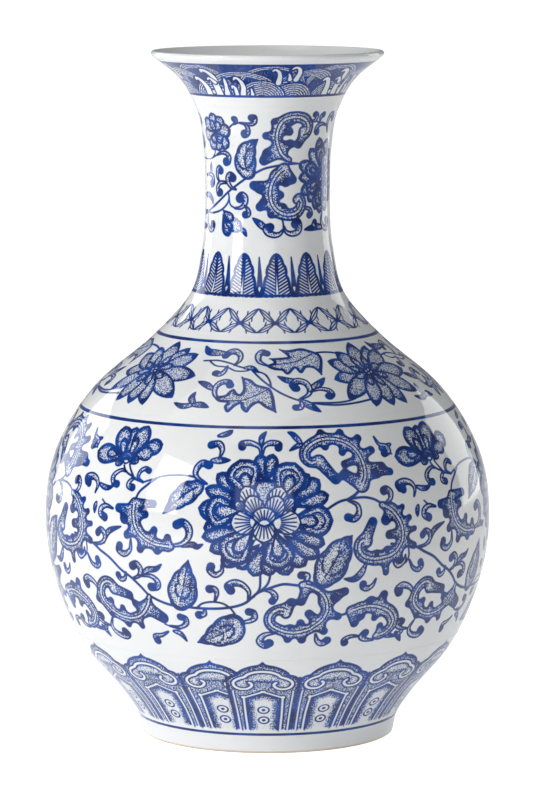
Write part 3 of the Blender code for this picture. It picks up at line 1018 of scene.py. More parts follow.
        ("dark", (5, 114), (14.2, 107.4), 3.8),
        ("dark", (6, 125), (15.6, 130), 3.8),
        ("dark", (6, 127), (13.4, 137), 4.4),
        ("dark", (5, 130), (10.9, 139.4), 3.8),
        ("nested", (-4, 128), (-7.4, 146), 8.2),
        ("drop", (-4.8, 131.4), (-6.2, 140.4), 2.9),
        ("nested", (2.6, 126), (7.4, 144.6), 8.0),
        ("drop", (4.2, 130.6), (6.4, 139.4), 2.9),
        ("nested", (-6, 122.4), (-15.8, 122.8), 7.6),
        ("drop", (-6.8, 123.2), (-13.5, 122.6), 3.1),
        ("nested", (5, 118.6), (16.4, 118.2), 7.4),
        ("drop", (6.6, 118.6), (12.7, 118.2), 3.0),
        ("nested", (-3.6, 116), (-10.6, 99.6), 8.0),
        ("drop", (-3.9, 113.6), (-8.4, 103.6), 3.2),
        ("nested", (1.2, 115), (3.6, 96), 7.6),
        ("drop", (1.8, 112), (2.9, 100.8), 3.0),
        ("striped", (-3.2, 122), (-5.8, 134.4), 4.6),
        ("striped", (-3.4, 121), (-8.2, 127), 2.8),
        ("striped", (1, 122), (3.6, 134.2), 4.6),
        ("striped", (2.4, 120), (6.6, 129), 3.0),
        ("striped", (-2, 118.4), (-9.2, 117.4), 5.6),
        ("striped", (1, 118), (8.3, 118), 5.6),
        ("striped", (-1.8, 119), (-4.6, 130), 4.6),
        ("striped", (0.6, 119), (2.9, 130), 4.6),
        ("striped", (-0.9, 121), (-0.9, 108.6), 5.2),
        ("striped", (-0.8, 116.2), (-0.8, 125.0), 5.4),
    ],
}


def paintFlame(canvas, width, places, shade=0.75):
    line = smoothLine(places)
    t = np.linspace(0.0, 1.0, len(line))
    half = width * np.sin(math.pi * np.clip(0.12 + 0.88 * t, 0, 1)) ** 0.9 * 0.62 + 0.18
    for place, depth, along, _, length in strokes(canvas, line, half, width + edgeMargin):
        rim = 0.34 - np.abs(depth - 0.16)
        tip = np.minimum(depth, (along - 0.55) * length)
        tone = np.clip(shade * (0.35 + along), 0, 0.9)
        canvas.lay(place, depth > 0, np.maximum(rim, tip), tone)


def paintScroll(canvas, scroll):
    for width, places in scroll["stalks"]:
        paintStem(canvas, places, width)
    for width, places in scroll["flames"]:
        paintFlame(canvas, width, places)
    for width, bulb, places in scroll["curls"]:
        paintCurl(canvas, places, width, bulb)
    for leaf in scroll.get("acanthus", []):
        paintAcanthus(canvas, leaf["spine"], leaf["width"], leaf["lobes"], leaf["ends"])
    for leaf in scroll.get("lobed", []):
        paintArea(canvas, leaf["edge"], rim=0.62, shade=0.26, fade=2.4)
        paintStem(canvas, leaf["rib"], 0.5)
    for leaf in scroll.get("leaves", []):
        paintLeaf(canvas, leaf["rib"], leaf["width"])
    for kind, base, tip, width in scroll.get("bud", []) + scroll.get("lotus", []):
        paintPetal(canvas, base, tip, width, kind)


def makeScroll(scroll, title, nodeTitle):
    # one unit of the scroll, printed on every sheet of its band
    repeat = scroll["repeat"]
    canvas = Canvas(scroll, scroll["seam"] - repeat, repeat, repeat)
    paintScroll(canvas, scroll)
    for sheet in range(1, round(360.0 / repeat) + 1):
        printedSheet(
            f"{title}{sheet}", canvas, canvas.ink, canvas.shade, f"{nodeTitle}_{sheet}",
            turn=sheet * repeat,
        )


neckScroll = {
    "low": 240.0,
    "high": 304.5,
    "step": 0.36,
    "repeat": 180.0,
    "seam": 80.0,
    "stalks": [
        (0.9, [(-80, 253.6), (-68, 254.2), (-60, 256), (-50, 259.2), (-38, 264), (-30, 267),
               (-20, 270.6), (-12, 273),
               (-2, 275.5), (10, 276.8), (20, 277.4), (28, 277.6)]),
        (0.8, [(-80, 252), (-70, 253.3), (-62, 253.2), (-53, 254), (-46, 255.4), (-40, 258),
               (-37.5, 261), (-38.5, 264)]),
        (0.8, [(27, 277.6), (20, 278.4), (12, 280.6), (5, 281), (1, 279.5)]),
        (0.7, [(-33.9, 294.9), (-30, 296.4), (-25, 297), (-19, 296.6)]),
        (0.6, [(-90, 279.4), (-80, 279), (-70, 278.7), (-62, 279.2), (-55, 280.5), (-50, 281.8)]),
        (0.6, [(-53.6, 284), (-55.6, 281.4), (-60, 279.4)]),
        (0.7, [(10, 253.5), (13.5, 251), (14.7, 247.2)]),
        (0.6, [(34, 299.8), (38.5, 298.2), (42, 297.8)]),
        (0.7, [(44, 297.8), (52, 296.2), (60, 295.3), (64, 292)]),
        (0.7, [(-37.8, 262.4), (-36.2, 258), (-31, 256.3)]),
    ],
    "flames": [
        (2.2, [(-1, 246.4), (-6.5, 249), (-13.4, 251.8)]),
        (1.5, [(-26, 246.6), (-22, 245.6), (-19.2, 243.3)]),
        (2.2, [(60, 246.4), (51, 247), (43, 246.6), (35.6, 246)]),
        (1.6, [(-63, 272), (-63.4, 275), (-62.6, 277.2)]),
        (2.0, [(-76, 261.4), (-68, 261.6), (-62, 260), (-60, 257.6)]),
        (1.8, [(-90, 247.4), (-80, 246.4), (-70, 246.6)]),
    ],
    "curls": [
        (1.2, 1.6, [(-24, 297), (-15, 296.4), (-11.2, 297.4), (-10.8, 299.6), (-13.2, 299.5)]),
        (0.8, 1.3, [(-30, 296.3), (-27.2, 297.2), (-27.4, 299), (-29, 298.8)]),
        (1.2, 1.9, [(-20.5, 296.8), (-17.2, 294.8), (-17.4, 292.2), (-20, 291.8)]),
        (1.2, 1.9, [(-52, 281.2), (-46, 282.3), (-40, 282.2), (-36.9, 280.4), (-38, 278.4),
                    (-40.6, 278.2)]),
        (1.2, 1.7, [(-49.6, 268.4), (-52.4, 270.6), (-52.2, 273.6), (-49.8, 275), (-47.6, 273.8)]),
        (1.2, 1.7, [(-38, 268), (-44, 268.3), (-49.8, 267.6), (-52.2, 265.2), (-51, 263),
                    (-48.4, 263.4)]),
        (1.3, 1.9, [(-30, 265.2), (-35, 266.2), (-38.8, 268.8), (-38.8, 271), (-36.4, 272),
                    (-33.4, 270.7)]),
        (1.4, 2.0, [(-31, 256.3), (-25, 256.7), (-20.8, 258.8), (-20.8, 261.6), (-23.6, 262.6),
                    (-26, 261)]),
        (1.2, 1.6, [(-21, 257.6), (-17.8, 255.6), (-17.8, 253.6), (-20.4, 253.4)]),
        (1.0, 1.5, [(30, 255.6), (36, 256.3), (41.6, 255.6), (43.6, 253.6), (41.2, 252.8)]),
        (1.6, 1.8, [(14.6, 246.6), (11, 244.4), (6, 243.9), (0.6, 245.1), (-1.2, 247),
                    (2.4, 247.6)]),
        (1.6, 2.0, [(14.6, 248), (16.8, 245.4), (22, 244.3), (27.8, 245.2), (29.8, 247.6),
                    (28.4, 249.6), (25.8, 248.9)]),
        (1.1, 1.4, [(40, 297.6), (44, 298), (45, 300), (42.6, 300.8)]),
        (1.1, 1.4, [(50, 297), (50.3, 299.6), (52.8, 300.4)]),
        (1.2, 1.6, [(60, 295.3), (53, 296), (48, 294.8), (46.6, 292.8), (47.8, 292.4)]),
        (1.2, 1.4, [(50, 246.8), (46.6, 248), (48, 249.2)]),
        (1.4, 1.9, [(60, 254), (58, 250), (61, 246.6), (67, 246), (70.4, 248.4), (68, 249.4)]),
        (1.3, 1.8, [(-74, 271), (-66, 271.6), (-60.4, 270.6), (-59.6, 268), (-62, 267.2)]),
        (1.3, 1.8, [(-70, 252.4), (-69.6, 248), (-65, 245.2), (-60, 245.6), (-58.4, 247.4),
                    (-60.4, 247.8)]),
        (1.3, 1.8, [(64, 292), (62, 296), (64, 299.4), (68, 300.2), (71, 298.4)]),
        (1.4, 1.8, [(-84, 300), (-79, 299.4), (-77, 297.4), (-79.4, 296.6)]),
        (1.4, 1.9, [(-92, 288), (-86, 289.6), (-79, 288.6), (-76.6, 286.4), (-79, 285.4)]),
    ],
    "acanthus": [
        {"spine": [(20, 279.4), (14, 281.4), (9.8, 285.4), (8, 290), (9.4, 294.6), (13, 298),
                   (19, 299.5), (26, 299.8),
                   (32.6, 298.6), (36.8, 296), (37.2, 293.6), (34.6, 292.2), (31.8, 293.2)],
         "width": 1.9, "ends": (1.2, 1.8),
         "lobes": [(-3.3, 279.2, 2.1), (0, 282.6, 2.3), (-1.2, 291, 1.6), (6, 297.6, 1.6),
                   (20.4, 297.4, 1.2),
                   (19.4, 292.8, 1.6), (15.4, 293.6, 1.2), (28.2, 286.8, 1.9), (20, 287, 1.9)]},
        {"spine": [(16, 275.8), (9, 272.8), (4.4, 269), (2.4, 264.5), (3.4, 259.6), (7.6, 256),
                   (13.6, 254), (21, 253.4),
                   (27.4, 254.4), (31.6, 256.8), (32.2, 259.4), (30, 261), (27.4, 260.4)],
         "width": 1.9, "ends": (1.2, 2.0),
         "lobes": [(-12.6, 267.4, 1.9), (-6, 266, 2.4), (-6.8, 257.2, 1.9), (-2.6, 259.4, 1.8),
                   (3.4, 253.6, 1.6),
                   (23.4, 270, 1.9), (16.6, 268.8, 2.0), (11.8, 262.8, 1.6), (14.6, 257.2, 1.4)]},
    ],
    "leaves": [{"rib": [(-14.5, 272), (-19.8, 275.4), (-20.4, 281), (-16, 285.8),
                        (-8.7, 289.2)], "width": 4.6}],
    "bud": [
        ("plain", (-51, 292), (-52.5, 301.2), 3.2), ("plain", (-51, 292), (-41.6, 299.4), 3.2),
        ("plain", (-51, 291.6), (-33.8, 293.6), 3.4), ("plain", (-51, 291), (-36.6, 285.2), 3.2),
        ("plain", (-51, 291), (-48, 283.2), 3.2), ("plain", (-51, 291), (-60, 284), 3.4),
        ("plain", (-51, 291.6), (-70, 290.6), 3.4), ("plain", (-51, 292), (-66.4, 297.6), 3.4),
        ("plain", (-51, 291.6), (-56.6, 297.6), 2.4), ("plain", (-51, 291.6), (-45.4, 297.2), 2.4),
        ("plain", (-51, 291.6), (-43.6, 287.6), 2.4), ("plain", (-51, 291.6), (-57.4, 287), 2.4),
        ("dark", (-45, 253.2), (-37.2, 242.8), 2.9), ("plain", (-44.5, 252.6), (-24, 246), 3.2),
        ("plain", (-45, 255), (-32.6, 250.4), 2.1), ("drop", (-43, 250), (-33, 246.8), 1.4),
    ],
    "lotus": [
        ("drop", (58, 272), (41, 284.4), 3.0), ("drop", (58, 272), (52, 289.4), 3.4),
        ("drop", (58, 272), (66, 288.6), 3.4), ("drop", (58, 272), (29.4, 277.4), 3.2),
        ("drop", (58, 272), (29.6, 270.6), 3.0), ("drop", (58, 270), (31.8, 263.4), 3.2),
        ("drop", (58, 270), (40, 259.2), 3.2), ("drop", (58, 270), (48, 255.2), 3.2),
        ("drop", (58, 270), (55, 253.2), 3.2), ("drop", (58, 270), (66, 254), 3.4),
        ("drop", (58, 270), (76, 259), 3.6), ("drop", (58, 272), (84, 266), 3.6),
        ("drop", (58, 272), (84, 275), 3.6), ("drop", (58, 272), (75, 283), 3.6),
        ("nested", (58, 273), (55, 286.4), 4.2), ("drop", (57.6, 275), (56, 283), 1.6),
        ("nested", (57, 272), (36, 275.4), 4.0), ("drop", (52, 273), (41, 274.6), 1.6),
        ("nested", (57, 270), (38, 264), 4.0), ("drop", (52, 269), (42, 265.4), 1.6),
        ("nested", (58, 269), (54, 256.4), 4.0), ("drop", (57.4, 266), (55.4, 259), 1.6),
        ("nested", (59, 272), (80, 271), 4.4), ("nested", (59, 269), (72, 259.6), 4.2),
        ("nested", (59, 274), (72, 281), 4.2),
        ("striped", (58, 270), (50, 273.4), 2.4), ("striped", (58, 270), (58, 276.6), 2.6),
        ("striped", (58, 271), (51, 267.4), 2.4), ("striped", (58, 271), (59, 264.4), 2.6),
        ("striped", (58, 270.6), (66, 271), 2.6),
    ],
}


shoulderScroll = {
    "low": 163.0,
    "high": 194.2,
    "step": 0.37,
    "seam": 40.0,
    "sheets": 4,
    # degrees that each scroll and each flower is moved round the vase
    "turns": (176.0, -95.5, 88.5, 0.0),
    "flowers": (133.0, 218.0, -51.0, 43.5),
    "stalks": [
        (0.8, [(-28.7, 186.8), (-22, 187.2), (-16, 186.2), (-12, 185), (-8, 184.2)]),
        (0.7, [(-25.5, 186.6), (-22, 185), (-17, 184.6), (-13, 183.2), (-8.5, 183.3),
               (-6.5, 184.3)]),
        (0.9, [(-6.5, 183.8), (-3, 180.5), (1, 177), (5, 174), (10, 171.3), (15, 169.8),
               (22, 168.7), (29, 169), (36, 170)]),
        (0.8, [(-4, 183.2), (-0.8, 181.8), (0.9, 179), (1.2, 176.6)]),
        (0.8, [(15, 170), (24, 169.7), (30, 170.8), (34.5, 173.4)]),
        (0.9, [(20.5, 190), (25, 190.5), (31, 190.2), (36, 189)]),
    ],
    "flames": [
        (2.9, [(-19.8, 190.3), (-25, 190.3), (-28.6, 190.7), (-31.5, 192.8)]),
        (1.8, [(-9.4, 184.5), (-6.5, 184.5), (-3.5, 182.7)]),
        (2.3, [(-19.6, 175.4), (-22.8, 177.2), (-26.2, 178.3)]),
        (2.2, [(-24.4, 169.2), (-26, 171.2), (-25.6, 173.8)]),
        (2.0, [(-24, 168.9), (-28, 167.8), (-31.5, 168.9)]),
        (2.3, [(-24.6, 168.6), (-22, 168.8), (-19.2, 167.9)]),
        (2.6, [(11, 179.2), (7.6, 179.4), (4, 181.1)]),
        (2.7, [(15.4, 175.8), (18.6, 177.4), (22.1, 180)]),
        (2.8, [(11, 171), (13.8, 168.8), (16.8, 166.2)]),
    ],
    "curls": [
        (1.7, 1.6, [(-14, 185.5), (-12.2, 187.8), (-12.8, 190), (-15.4, 191.2), (-18, 190.6),
                    (-19.4, 189.2)]),
        (1.4, 1.7, [(-17, 185), (-17.6, 182.8), (-19.2, 181.6), (-20.8, 182)]),
        (1.6, 1.7, [(-15.5, 171.2), (-18, 173), (-18.8, 176), (-17.4, 178.2), (-14.8, 178.6),
                    (-13.6, 177.2)]),
        (1.6, 1.6, [(0.2, 185.4), (-3.4, 187), (-4.2, 189.4), (-2.6, 191), (-0.3, 190.5)]),
        (1.9, 2.0, [(10.4, 171.4), (14, 173.4), (15, 176), (13.8, 178.4), (11, 179), (9.4, 177.6),
                    (10, 176.1)]),
        (1.5, 1.8, [(15, 174.6), (18.6, 175.6), (21.6, 174.9), (22.4, 173.4), (21.2, 172.4)]),
        (1.4, 1.6, [(10.8, 171.2), (11.2, 169.6), (10.4, 168.2), (9.1, 168.2)]),
    ],
    # lobed leaves as closed outlines with their ribs; a doubled point is a sharp tip
    "lobed": [
        {"edge": [(-17.6, 172.2), (-14.5, 173), (-13.2, 174.8), (-12, 175.6), (-10.8, 174.2),
                  (-9.4, 173.6), (-8.4, 176),
                  (-9.6, 180.4), (-9.6, 180.4), (-6.4, 179.6), (-4, 177.6), (0.4, 176.2),
                  (1.8, 173), (2.2, 169.5),
                  (2.4, 166.6), (2.4, 166.6), (-0.6, 168.4), (-3, 170.4), (-5.4, 168.6),
                  (-6.6, 166.4), (-8.2, 168),
                  (-8.8, 170), (-10.8, 168.6), (-12.6, 166.3), (-13.8, 168.4), (-13.2, 170.2),
                  (-16, 170.6)],
         "rib": [(-16, 171), (-8, 171.4), (0, 175.8)]},
        {"edge": [(0, 185.4), (3, 186.7), (1.5, 188.3), (1.5, 188.3), (7, 188.6), (9.6, 189.2),
                  (6.2, 192), (6.2, 192),
                  (10, 191.6), (16, 192.3), (20, 191.4), (24, 189.8), (24.5, 187.6), (23, 184.5),
                  (21.5, 181.7),
                  (21.5, 181.7), (19.4, 184.2), (16, 184.5), (13.4, 182.4), (11.4, 184.5),
                  (8, 182), (6, 183.6), (3, 183.9)],
         "rib": [(2, 185.8), (12, 187), (21, 190.1)]},
    ],
    # petals of one flower as (degrees from its middle, height of the tip, width)
    "flower": [
        (-17.5, 179, 3.4), (-15.5, 171, 3.4), (-16.5, 186.6, 3.6), (-10, 190.2, 3.4),
        (1, 193.6, 3.8), (11, 191.4, 3.2),
        (17.5, 189.2, 3.6), (22, 180.4, 3.8), (17.6, 171, 3.8), (7.2, 166.9, 3.2),
        (0.6, 166.6, 3.6), (-6.6, 167, 3.2),
    ],
    "heart": [(-8, 183.4), (-4, 187.4), (3.4, 187.6), (8.4, 184), (8, 178.4), (2.6, 175),
              (-3.6, 175.6), (-8, 179)],
    "heartWidth": 2.1,
    "stripedWidth": 1.4,
    "middle": 181.2,         # height of the middle of a flower
}


def paintFlower(canvas, scroll):
    # a ring of pointed petals round a heart of plain ones, with striped ones on top
    middle = scroll["middle"]
    for across, tip, width in scroll["flower"]:
        paintPetal(
            canvas, (across * 0.12, middle), (across, tip), width * 1.35, "pointed",
            blunt=1.1, full=0.72,
        )
    for across, tip in scroll["heart"]:
        paintPetal(canvas, (across * 0.1, middle), (across, tip), scroll["heartWidth"], "plain")
    for across, tip in scroll["heart"][::2]:
        end = (across * 0.55, (tip + middle) / 2)
        paintPetal(canvas, (0, middle), end, scroll["stripedWidth"], "striped", stripes=4)


def makeShoulderScroll():
    # painted all round, because its units are unevenly spaced, and then cut into equal sheets
    scroll = shoulderScroll
    sheets = scroll["sheets"]
    quarterTurn = 360.0 / sheets
    start = scroll["seam"] - quarterTurn
    canvas = Canvas(scroll, start)
    quarter = canvas.columns // sheets
    canvas.divide(quarter * sheets)
    for turn in scroll["turns"]:
        canvas.turn = turn
        paintScroll(canvas, scroll)
    for turn in scroll["flowers"]:
        canvas.turn = turn
        paintFlower(canvas, scroll)
    share = Canvas(scroll, start, quarterTurn)
    share.divide(quarter)
    for sheet in range(1, sheets + 1):
        first = sheet % sheets * quarter
        part = slice(first, first + quarter + 1)
        printedSheet(
            f"shoulderScroll{sheet}", share, canvas.ink[:, part], canvas.shade[:, part],
            f"shoulder_scroll_transfer_{sheet}", turn=sheet * quarterTurn,
        )


lotusPanels = {
    "low": 11.2,
    "high": 51.0,
    "step": 0.56,
    "count": 16,
    "pitch": 22.97,
    "first": -1.5,
    # right halves of the lines, from the middle outwards or from the foot upwards
    "crest": [(0, 50.0), (1.1, 48.6), (3.4, 47.8), (6.0, 46.2), (7.6, 44.4), (8.3, 43.2),
              (10.0, 42.4), (11.2, 41.0), (11.6, 39.2)],
    "crestFoot": (11.6, 8.0),
    "cloud": [(0, 45.0), (2.6, 44.6), (4.6, 43.4), (5.6, 42.1), (7.6, 41.0), (9.2, 39.2),
              (9.2, 37.0), (7.7, 35.5), (5.4, 35.4), (3.9, 36.6), (3.5, 38.0), (4.2, 39.0)],
    "cloudWidth": 2.2,
    "frame": [(6.7, 10.6), (6.9, 20.0), (6.7, 30.4), (6.7, 30.4), (0, 33.8), (0, 33.8)],
    "frameFoot": (6.7, 6.0),
    "frameWidth": 1.9,
    "column": [(9.7, 10.6), (9.9, 22.0), (10.0, 33.0), (9.8, 34.2)],
    "columnWidth": 1.5,
    "seeds": (23.3, 17.6),
    "fade": 13.4,            # below this height the brush runs dry
}


def mirrored(points):
    return [(-x, height) for x, height in points]


def oval(height, across, upright, count):
    angles = np.linspace(0, math.tau, count + 1)[:-1]
    return [(across * math.cos(a), height + upright * math.sin(a)) for a in angles]


def paintBand(canvas, points, width, rim=0.34):
    # a light band between two dark lines
    line = smoothLine(points)
    half = np.full(len(line), width / 2)
    for place, depth, *_ in strokes(canvas, line, half, width + edgeMargin):
        canvas.lay(place, depth > 0, rim - np.abs(depth), 0.0)


def paintPanel(canvas, plan):
    top = plan["crest"][0]
    crest = mirrored(plan["crest"][:0:-1]) + [top, top] + plan["crest"][1:]
    edge = mirrored([plan["crestFoot"]] * 2) + crest + [plan["crestFoot"]] * 2
    for place, depth in areas(canvas, edge):
        shade = np.clip(1.0 - (depth - 0.5) / 2.4, 0.42, 0.95)
        canvas.lay(place, depth > 0, 0.42 - np.abs(depth - 0.22), shade)
    # the field inside the pointed frame: dark along the frame and open in the middle
    frame = mirrored(plan["frame"]) + plan["frame"][::-1]
    field = mirrored([plan["frameFoot"]] * 2) + frame[1:-1] + [plan["frameFoot"]] * 2
    for place, depth in areas(canvas, field):
        shade = np.clip(1.12 - (depth - 0.8) / 4.2, 0.05, 0.95)
        canvas.lay(place, depth > 0, 0.75 - np.abs(depth - 0.85), shade)
    for column in (mirrored(plan["column"]), plan["column"]):
        paintBand(canvas, column, plan["columnWidth"], rim=0.24)
    paintBand(canvas, frame[:4] + [frame[4]] * 2 + frame[7:], plan["frameWidth"])
    cloud = mirrored(plan["cloud"][:0:-1]) + plan["cloud"]
    for place, depth in areas(canvas, cloud):
        bare = np.full(depth.shape, -1.5)
        canvas.lay(place, depth > 0, bare, np.clip(0.80 - depth / 4.0, 0.14, 0.8))
    paintBand(canvas, cloud, plan["cloudWidth"])
    for height in plan["seeds"]:
        paintArea(canvas, oval(height, 2.2, 2.0, 8), kind="ring", rim=0.32, shade=0.0)
        paintArea(canvas, oval(height, 0.7, 0.62, 6), kind="solid")


def makeLotusPanels():
    plan = lotusPanels
    canvas = Canvas(plan, flare=True)
    for panel in reversed(range(plan["count"])):
        canvas.turn = plan["first"] + panel * plan["pitch"]
        paintPanel(canvas, plan)
    rise = (canvas.height - plan["low"] - 0.6) / (plan["fade"] - plan["low"])
    fade = np.clip(rise, 0.0, 1.0)[:, None]
    ragged = 0.4 * np.sin(np.radians(canvas.azimuth * 97.0))[None, :]
    ink = np.minimum(canvas.ink, 3.0 * fade - 0.5 + ragged)
    shade = canvas.shade * np.clip(fade * 1.6, 0, 1)
    printedSheet("lotusPanelBorder", canvas, ink, shade, "lotus_panel_transfer", fullTurn=True)


leafBorder = {
    "low": 214.6,
    "high": 237.0,
    "step": 0.33,
    "count": 13,
    "first": 7.5,
    "edge": [(11.6, 214.0), (11.2, 216.6), (10.4, 219.0), (10.2, 221.2), (9.3, 223.6),
             (8.0, 224.9), (8.3, 226.6), (7.4, 228.8), (5.9, 230.1), (4.9, 231.9),
             (2.8, 233.9), (0.0, 234.8)],
    "veinGap": 1.62,
    "veinSlope": 0.62,
    "tip": 233.4,
    "ribHalf": 0.62,
    "ribTop": 228.0,
    "spike": [(0.6, 215), (0.2, 219), (0, 224), (-0.4, 229), (-0.8, 233.4)],
    "spikeWidths": (3.5, 0.5),
    "bud": [(0, 215.6), (1.5, 217.6), (2.1, 219.3), (0, 220.4), (-2.1, 219.3), (-1.5, 217.6)],
    "base": 216.0,           # the border is solid below this height
}


def makeLeafBorder():
    plan = leafBorder
    pitch = 360.0 / plan["count"]
    canvas = Canvas(plan, wrap=pitch, flare=True)
    # spikes and buds stand between the leaves
    canvas.turn = plan["first"] + pitch / 2
    paintStem(canvas, plan["spike"], *plan["spikeWidths"])
    paintArea(canvas, plan["bud"], kind="ring", shade=0.1)
    canvas.turn = plan["first"]
    line = smoothLine(mirrored(plan["edge"]) + plan["edge"][-2::-1], closed=True)
    found, lineX, lineY = canvas.windows(line[:, 0], line[:, 1], edgeMargin)
    middleShift = (lineX.max() + lineX.min()) / 2
    for place, x, y in found:
        depth = areaField(x, y, lineX, lineY)
        rows = canvas.arc[place[0]][:, None]
        off = np.abs(x - middleShift)
        slant = (rows - off * plan["veinSlope"]) / plan["veinGap"]
        # light veins on a dark leaf, which stop short of its edge, its rib and its tip
        light = np.abs(slant - np.round(slant)) * plan["veinGap"] * 0.85 - 0.36
        light = np.maximum(light, 0.65 - depth)
        light = np.maximum(light, 0.75 - off)
        light = np.maximum(light, rows - arcAt(plan["tip"]))
        rib = off - plan["ribHalf"] * np.clip((arcAt(plan["ribTop"]) - rows) / 12.0, 0.0, 1.0)
        ink = np.minimum(np.minimum(light, rib), 1.0)
        ink = np.where(depth > 0, ink, np.minimum(0.5 + depth, 1.0))
        canvas.lay(place, depth > 0, ink, 0.0)
    base = arcAt(plan["base"]) - canvas.arc[:, None]
    foot = canvas.arc[:, None] - arcAt(plan["low"] + 0.4)
    ink = np.maximum(canvas.ink, np.minimum(base, foot))
    printedSheet("leafBorder", canvas, ink, canvas.shade, "leaf_border_transfer", fullTurn=True)


latticeBorder = {
    "low": 198.4,
    "high": 211.0,
    "step": 0.35,
    "cells": 17,
    "pitch": 21.5,
    "first": -38.3,
    "short": 16.0,           # the last gap, where the strip meets itself
    "knot": 203.3,
    "top": 209.7,
    "bottom": 199.3,
    "line": 0.44,
    "bulges": (-1.25, 0.0, 1.25),
    # short strokes on the lens sides as (share of the way from the knot, reach in millimetres)
    "ticks": [(0.36, 1.5), (0.62, -1.7)],
}


def lensPlace(plan, gap, mirror, upward, share, offset):
    # a place in a lens that leaves the knot, this share of the way along and offset outwards
    end = plan["top"] if upward > 0 else plan["bottom"]
    bulge = offset * math.sin(math.pi * share)
    height = plan["knot"] + (end - plan["knot"]) * share + upward * bulge
    across = 0.5 * share - upward * 0.012 * bulge
    return (gap * (1 - across if mirror else across), height)


def makeLatticeBorder():
    plan = latticeBorder
    canvas = Canvas(plan)
    outer = plan["bulges"][-1]
    for cell in range(plan["cells"]):
        canvas.turn = plan["first"] + plan["pitch"] * cell
        gap = plan["short"] if cell == plan["cells"] - 1 else plan["pitch"]
        for mirror, upward in ((False, 1.0), (False, -1.0), (True, 1.0), (True, -1.0)):
            lens = (plan, gap, mirror, upward)
            for bulge in plan["bulges"]:
                curve = [lensPlace(*lens, share, bulge) for share in (0, 0.2, 0.4, 0.6, 0.8, 1)]
                paintStem(canvas, curve, plan["line"])
            for share, reach in plan["ticks"]:
                side = math.copysign(1.0, reach)
                tick = [
                    lensPlace(*lens, share, outer * side),
                    lensPlace(*lens, share + 0.04 * side, outer * side + reach),
                ]
                paintStem(canvas, tick, plan["line"])
        paintStem(canvas, [(-1.0, plan["knot"]), (0, plan["knot"] + 0.1), (1.0, plan["knot"])], 2.2)
    printedSheet(
        "latticeBorder", canvas, canvas.ink, canvas.shade, "lattice_border_transfer", fullTurn=True,
    )


waveBorder = {
    "low": 309.2,
    "high": 325.8,
    "step": 0.34,
    "repeat": 90.0,
    "lines": (309.8, 325.2),
    # fans of ripples as (degrees, height of the crown, radius, ripples)
    "fans": [
        (-45, 325.4, 20, 3), (3, 324.6, 22, 2), (25.6, 322.6, 19, 4), (-17.5, 321.9, 25, 3),
        (48, 317, 13, 9),
        (-62, 323, 16, 4), (-75, 317.4, 14, 9), (18, 316.3, 11, 9), (-4, 317.4, 13, 9),
    ],
    "ripple": 1.2,
    "rippleShade": 0.16,
    "waterShade": 0.93,
    "halo": 1.5,             # dark water round the foam
    # the light water that the foam rises from
    "pool": [(-47.5, 310.6), (-46.6, 313.2), (-41, 312.9), (-38, 314.2), (-34, 314), (-30, 313.4),
             (-27.6, 310.6)],
    # foam as (width, places), from the water up to the hooked tip
    "foam": [
        (2.0, [(-45.5, 310.5), (-45.6, 314), (-47.6, 317), (-50, 318.2), (-52, 317.2)]),
        (2.2, [(-36, 310.5), (-36.4, 315), (-35.4, 318.6), (-37, 321.2), (-40, 322.3),
               (-41.8, 321.2)]),
        (1.2, [(-36.4, 316.4), (-39, 318.4), (-41.4, 317.4)]),
        (1.6, [(-29.6, 310.8), (-28.8, 314.4), (-28, 318.4)]),
        (1.5, [(-17.4, 310.8), (-16.4, 314.6), (-17.8, 317.6), (-20, 318.9), (-21.8, 317.8)]),
        (1.1, [(-22, 310.8), (-22.4, 313.8), (-24, 314.8), (-24.6, 313.6)]),
        (1.0, [(-10.6, 310.8), (-11, 313.6)]),
        (1.5, [(7, 316.4), (7.4, 319), (6.8, 321.5), (4.6, 322.9), (2.8, 322.2)]),
        (1.1, [(14, 318), (13.4, 319.8), (12.6, 320.9)]),
        (1.5, [(18, 318), (18.9, 321), (17.8, 323.2), (15.6, 324), (13.6, 323)]),
    ],
}


